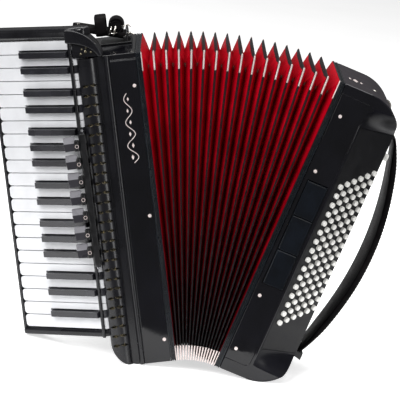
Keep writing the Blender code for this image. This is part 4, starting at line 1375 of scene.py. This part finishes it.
def makeHandStrap():
    sections = []
    for i in range(handStrap["rows"] + 1):
        share = i / handStrap["rows"]
        twist = math.radians(handStrap["twist"]) * math.sin(math.pi * share)
        spot, ahead, thick = strapSpot(share), strapAhead(share), strapThick(share)
        sections.append(bandSection(spot, ahead, handStrap["y"], handStrap["halfWide"], thick, twist, 7))
    strap = loft("handStrap", sections)
    smooth(strap, 60, weighted=False)
    settle(strap, bassHome)
    dress(strap, leather, "bass", "leather", "bass_strap")
    profile = [(0, -0.0016), (0.00035, -0.0011), (0.00045, 0), (0.00035, 0.0011), (0, 0.0016)]
    stitch = turned("stitch", profile, 6)
    places = []
    for i in range(handStrap["stitches"]):
        share = 0.03 + 0.94 * i / (handStrap["stitches"] - 1)
        ahead = strapAhead(share)
        normal = Vector((ahead.z, 0, -ahead.x))
        twist = math.radians(handStrap["twist"]) * math.sin(math.pi * share)
        for edge in (-0.0255, 0.0255):
            out = strapThick(share) + edge * math.sin(twist)
            spot = strapSpot(share) + normal * out + Vector((0, handStrap["y"] + edge * math.cos(twist), 0))
            turn = Matrix((normal, Vector((0, 1, 0)), ahead)).transposed().to_4x4()
            places.append(Matrix.Translation(spot) @ turn)
    seams = repeated("strapSeams", stitch, places)
    settle(seams, bassHome)
    dress(seams, thread, "bass", "leather")


# Steel clamp that holds the strap's lower end, with two round-headed screws
def makeStrapAnchor():
    face = bassCase["right"] + 0.0003
    bend = [(face, 0.0800), (face + 0.0020, 0.0800), (face + 0.0020, 0.0475), (face + 0.0130, 0.0475),
            (face + 0.0130, 0.0360), (face, 0.0390)]
    low, high = handStrap["y"] - 0.032, handStrap["y"] + 0.032
    clamp = plate("strapClamp", bend, "Y", low, high)
    soften(clamp, 0.0007, 3)
    profile = [(0, 0), (0.0032, 0), (0.0030, 0.0009), (0.0018, 0.0016), (0, 0.0018)]
    head = turned("screwHead", profile, 18)
    smooth(head, 50, weighted=False)
    turn = Matrix.Rotation(math.radians(90), 4, "Y")
    spots = [(face + 0.0020, handStrap["y"] + side * 0.028, 0.0640) for side in (-1, 1)]
    spots = [Matrix.Translation(spot) @ turn for spot in spots]
    heads = repeated("clampScrews", head, spots)
    settle(clamp, bassHome)
    settle(heads, bassHome)
    dress(clamp, enamel, "bass", "black_steel", "strap_anchor")
    dress(heads, nickel, "bass", "steel")


# On the bass top: a plain lozenge inlay and a countersunk screw
def makeTopFittings():
    marks = []
    for x, y, size in ((0.0290, -0.024, 0.0130), (0.0380, -0.024, 0.0064), (0.0200, -0.024, 0.0064)):
        outline = [(x - size * 0.34, y), (x, y - size), (x + size * 0.34, y), (x, y + size)]
        marks.append(plate("inlay", outline, "Z", caseHeight - 0.0004, caseHeight + 0.0003))
    inlay = joined("topInlay", marks)
    profile = [(0, -0.0010), (0.0010, -0.0010), (0.0014, 0.0002), (0.0036, 0.0004), (0.0042, 0),
               (0.0042, -0.0010), (0, -0.0014)]
    ring = turned("topScrew", profile, 24)
    smooth(ring, 40, weighted=False)
    settle(ring, bassHome @ Matrix.Translation((0.0585, -0.036, caseHeight - 0.0004)))
    settle(inlay, bassHome)
    dress(inlay, cornerMetal, "bass", "steel")
    dress(ring, nickel, "bass", "black_steel")


makeHandStrap()
makeStrapAnchor()
makeTopFittings()


# Shoulder strap end on the treble top: tongue, upright keeper, rolled hump, buckle, wire ends, plate and bow
shoulder = {"base": 0.0048, "y": 0.030, "halfWide": 0.018, "halfThick": 0.0021}


def pathBand(name, points, halfWides, halfThick):
    points = [Vector((x, 0, z)) for x, z in points]
    last = len(points) - 1
    sections = []
    for i, point in enumerate(points):
        ahead = (points[min(i + 1, last)] - points[max(i - 1, 0)]).normalized()
        sections.append(bandSection(point, ahead, shoulder["y"], halfWides[i], halfThick, 0))
    band = loft(name, sections)
    smooth(band, 60, weighted=False)
    return band


# Point on a square of half-size 1 with rounded corners; a smaller power makes it squarer
def roundedSquare(turn, power):
    across, up = math.cos(turn), math.sin(turn)
    return math.copysign(abs(across) ** power, across), math.copysign(abs(up) ** power, up)


def makeShoulderStrap():
    base = caseHeight + shoulder["base"]
    tongue = []
    widths = []
    for i in range(25):
        share = i / 24
        tongue.append((-0.022 - 0.0770 * share, base + 0.0052 + 0.0205 * share))
        narrowing = max((share - 0.84) / 0.17, 0)
        widths.append(shoulder["halfWide"] * math.sqrt(max(1 - narrowing ** 2, 0.02)))
    strap = pathBand("shoulderTongue", tongue, widths, shoulder["halfThick"] * 2.3)
    roll = []
    for i in range(46):
        turn = math.radians(-100 + i * 14.5)
        radius = 0.0118 - 0.0062 * i / 45
        roll.append((-0.0355 + radius * math.cos(turn), base + 0.0215 + radius * math.sin(turn)))
    hump = pathBand("strapRoll", roll, [0.0165] * len(roll), 0.0015)
    axle = [(-0.0355, shoulder["y"] + side * 0.0155, base + 0.0215) for side in (-1, 0, 1)]
    core = tube("rollCore", axle, 0.0062, 20)
    keeper = []
    for i in range(41):
        across, up = roundedSquare(math.tau * i / 40, 0.55)
        keeper.append((across * 0.0196, base + 0.0225 + up * 0.0145))
    sections = []
    for i, (y, z) in enumerate(keeper):
        before, after = keeper[i - 1 if i else 39], keeper[(i + 1) % 41 if i < 40 else 1]
        ahead = Vector((0, after[0] - before[0], after[1] - before[1])).normalized()
        normal = Vector((0, ahead.z, -ahead.y))
        middle = Vector((-0.0575, shoulder["y"] + y, z))
        section = []
        for k in range(12):
            angle = math.tau * k / 12
            wide = roundedSquare(angle, 0.4)[0] * 0.0082
            section.append(middle + Vector((wide, 0, 0)) + normal * 0.0014 * math.sin(angle))
        sections.append(section)
    loop = loft("strapKeeper", sections)
    smooth(loop, 60, weighted=False)
    whole = joined("shoulderStrap", [strap, hump, core, loop])
    settle(whole, trebleHome)
    dress(whole, leather, "treble", "leather", "shoulder_strap")


def makeBuckle():
    base = caseHeight + shoulder["base"]
    y, halfWide = shoulder["y"], 0.0165 * 1.25
    frameTube = []
    for i in range(33):
        across, up = roundedSquare(math.tau * i / 32, 0.5)
        frameTube.append((-0.0440 + up * 0.0030, y + across * halfWide, base + 0.0150 + up * 0.0070))
    buckle = tube("buckle", frameTube, 0.0014, 10)
    prongLine = [(-0.0400, 0.0085, base + 0.0085), (-0.0385, 0.0080, base + 0.0130),
                 (-0.0365, 0.0085, base + 0.0180), (-0.0350, 0.0100, base + 0.0215)]
    prong = tube("prong", prongLine, 0.0012, 10)
    bar = [(-0.0430, 0.0085, base + 0.0115), (-0.0390, 0.0080, base + 0.0112),
           (-0.0340, 0.0085, base + 0.0118)]
    wires = [tube("wire", bar, 0.0011, 8)]
    for high, reach in ((0.0215, 0.0), (0.0090, 0.003)):
        line = [(-0.0260 + reach, 0.0120, base + high - 0.0035), (-0.0215 + reach, 0.0100, base + high),
                (-0.0170 + reach, 0.0105, base + high + 0.0005),
                (-0.0135 + reach, 0.0130, base + high - 0.0030)]
        wires.append(tube("wire", line, 0.0009, 8))
    eyelet = turned("eyelet", [(0.0020, 0), (0.0036, 0), (0.0034, 0.0006), (0.0024, 0.0008), (0.0020, 0)], 20)
    slope = Matrix.Rotation(math.radians(17), 4, "Y")
    settle(eyelet, Matrix.Translation((-0.0905, y, base + 0.0282)) @ slope)
    metal = joined("buckleSet", [buckle, prong, eyelet, *wires])
    smooth(metal, 50, weighted=False)
    settle(metal, trebleHome)
    dress(metal, nickel, "treble", "steel")


def makeStrapBracket():
    low = caseHeight + 0.0003
    foot = block("bracketFoot", (-0.060, 0.004, low), (-0.014, 0.056, low + 0.0025))
    soften(foot, 0.0008, 3)
    bow = [(-0.020, 0.0065, low + 0.001), (-0.020, 0.0065, low + 0.012)]
    bow += [(-0.020, y, low + z) for y, z in arc((0.0135, 0.012), 0.007, 165, 90, 5)]
    bow += [(-0.020, y, low + z) for y, z in arc((0.0465, 0.012), 0.007, 90, 0, 6)]
    bow += [(-0.020, 0.0535, low + 0.001)]
    hoop = tube("bow", bow, 0.0017, 12)
    smooth(hoop, 50, weighted=False)
    catch = block("bracketBlock", (-0.026, 0.010, low + 0.0020), (-0.0145, 0.050, low + 0.0100))
    soften(catch, 0.0012, 3)
    whole = joined("strapBracket", [foot, hoop, catch])
    settle(whole, trebleHome)
    dress(whole, enamel, "treble", "black_steel", "strap_bracket")


makeShoulderStrap()
makeBuckle()
makeStrapBracket()
print("straps made")


# Inner pieces keep their shape and get their finishes
for node, material in (("key_rod", drawnSteel), ("treble_soundboard", pine), ("treble_reed_block", maple),
                       ("bass_reed_block", maple)):
    piece = frame["nodes"][node]
    piece.data.materials.clear()
    piece.data.materials.append(material)


# Studio: seamless pale paper that ends just before the instrument, a broad key light from the left,
# one overhead, a low card and a tall strip on the right
studio = {"far": 6.0, "wide": 0.62, "flare": 0.2, "near": -0.275, "nearest": -0.240, "skew": 0.74,
          "world": 0.13}


def makePaper():
    def place(u, v):
        across = (u * 2 - 1) * studio["wide"]
        near = min(studio["nearest"], studio["near"] + studio["skew"] * across)
        behind = v * (studio["far"] - near)
        return across + (u * 2 - 1) * studio["flare"] * behind, near + behind, 0

    return lattice("studioPaper", 8, 6, place)


def aimed(place, target, up=(0, 0, 1)):
    back = (Vector(place) - Vector(target)).normalized()
    side = Vector(up).cross(back).normalized()
    turn = Matrix((side, back.cross(side), back)).transposed().to_4x4()
    return Matrix.Translation(place) @ turn


def softLight(name, place, size, power, colour="#ffffff", target=(0, 0, 0.25)):
    clearSelection()
    bpy.ops.object.light_add(type="AREA")
    light = bpy.context.object
    light.name = name
    light.data.shape = "RECTANGLE"
    light.data.size, light.data.size_y = size
    light.data.energy = power
    light.data.color = linear(colour)[:3]
    light.matrix_world = aimed(place, target)
    return light


# Matt paper: fibres only just visible
paperFinish = grainedFinish("studioPaperFinish", ("#f6f6f6", "#fbfbfb"), (0.85, 0.95), 0.2, 2 * mm,
                            (0.05, 0.0003), Emission_Color=linear("#ffffff"), Emission_Strength=0.62)
paper = makePaper()
paper.data.materials.append(paperFinish)
lights = [softLight("keyLight", (-1.9, -2.4, 2.3), (2.0, 2.0), 122),
          softLight("overhead", (0.2, 0.9, 3.0), (3.0, 2.4), 90),
          softLight("sideCard", (1.05, -0.95, 0.36), (0.40, 0.8), 4.5, target=(-0.2, -0.1, 0.3)),
          softLight("rightStrip", (2.6, -1.6, 1.6), (0.5, 2.4), 15)]
world = bpy.data.worlds.new("studioWorld")
bpy.context.scene.world = world
world.use_nodes = True
world.node_tree.nodes["Background"].inputs["Color"].default_value = (1, 1, 1, 1)
world.node_tree.nodes["Background"].inputs["Strength"].default_value = studio["world"]
bpy.context.scene.view_settings.view_transform = "Standard"

# Camera: above and to the right of the leaning treble side, with a long lens
sight = {"place": (0.121, -3.801, 1.024), "ahead": (-0.0159, 0.9780, -0.2082), "up": (0.1090, 0.2087, 0.9719),
         "lens": 236}
clearSelection()
bpy.ops.object.camera_add()
camera = bpy.context.object
ahead, up = Vector(sight["ahead"]).normalized(), Vector(sight["up"]).normalized()
side = ahead.cross(up).normalized()
view = Matrix((side, side.cross(ahead), -ahead)).transposed().to_4x4()
camera.matrix_world = trebleHome @ Matrix.Translation(sight["place"]) @ view
camera.data.lens = sight["lens"]
camera.data.sensor_width = 36
camera.data.clip_end = 30
bpy.context.scene.camera = camera
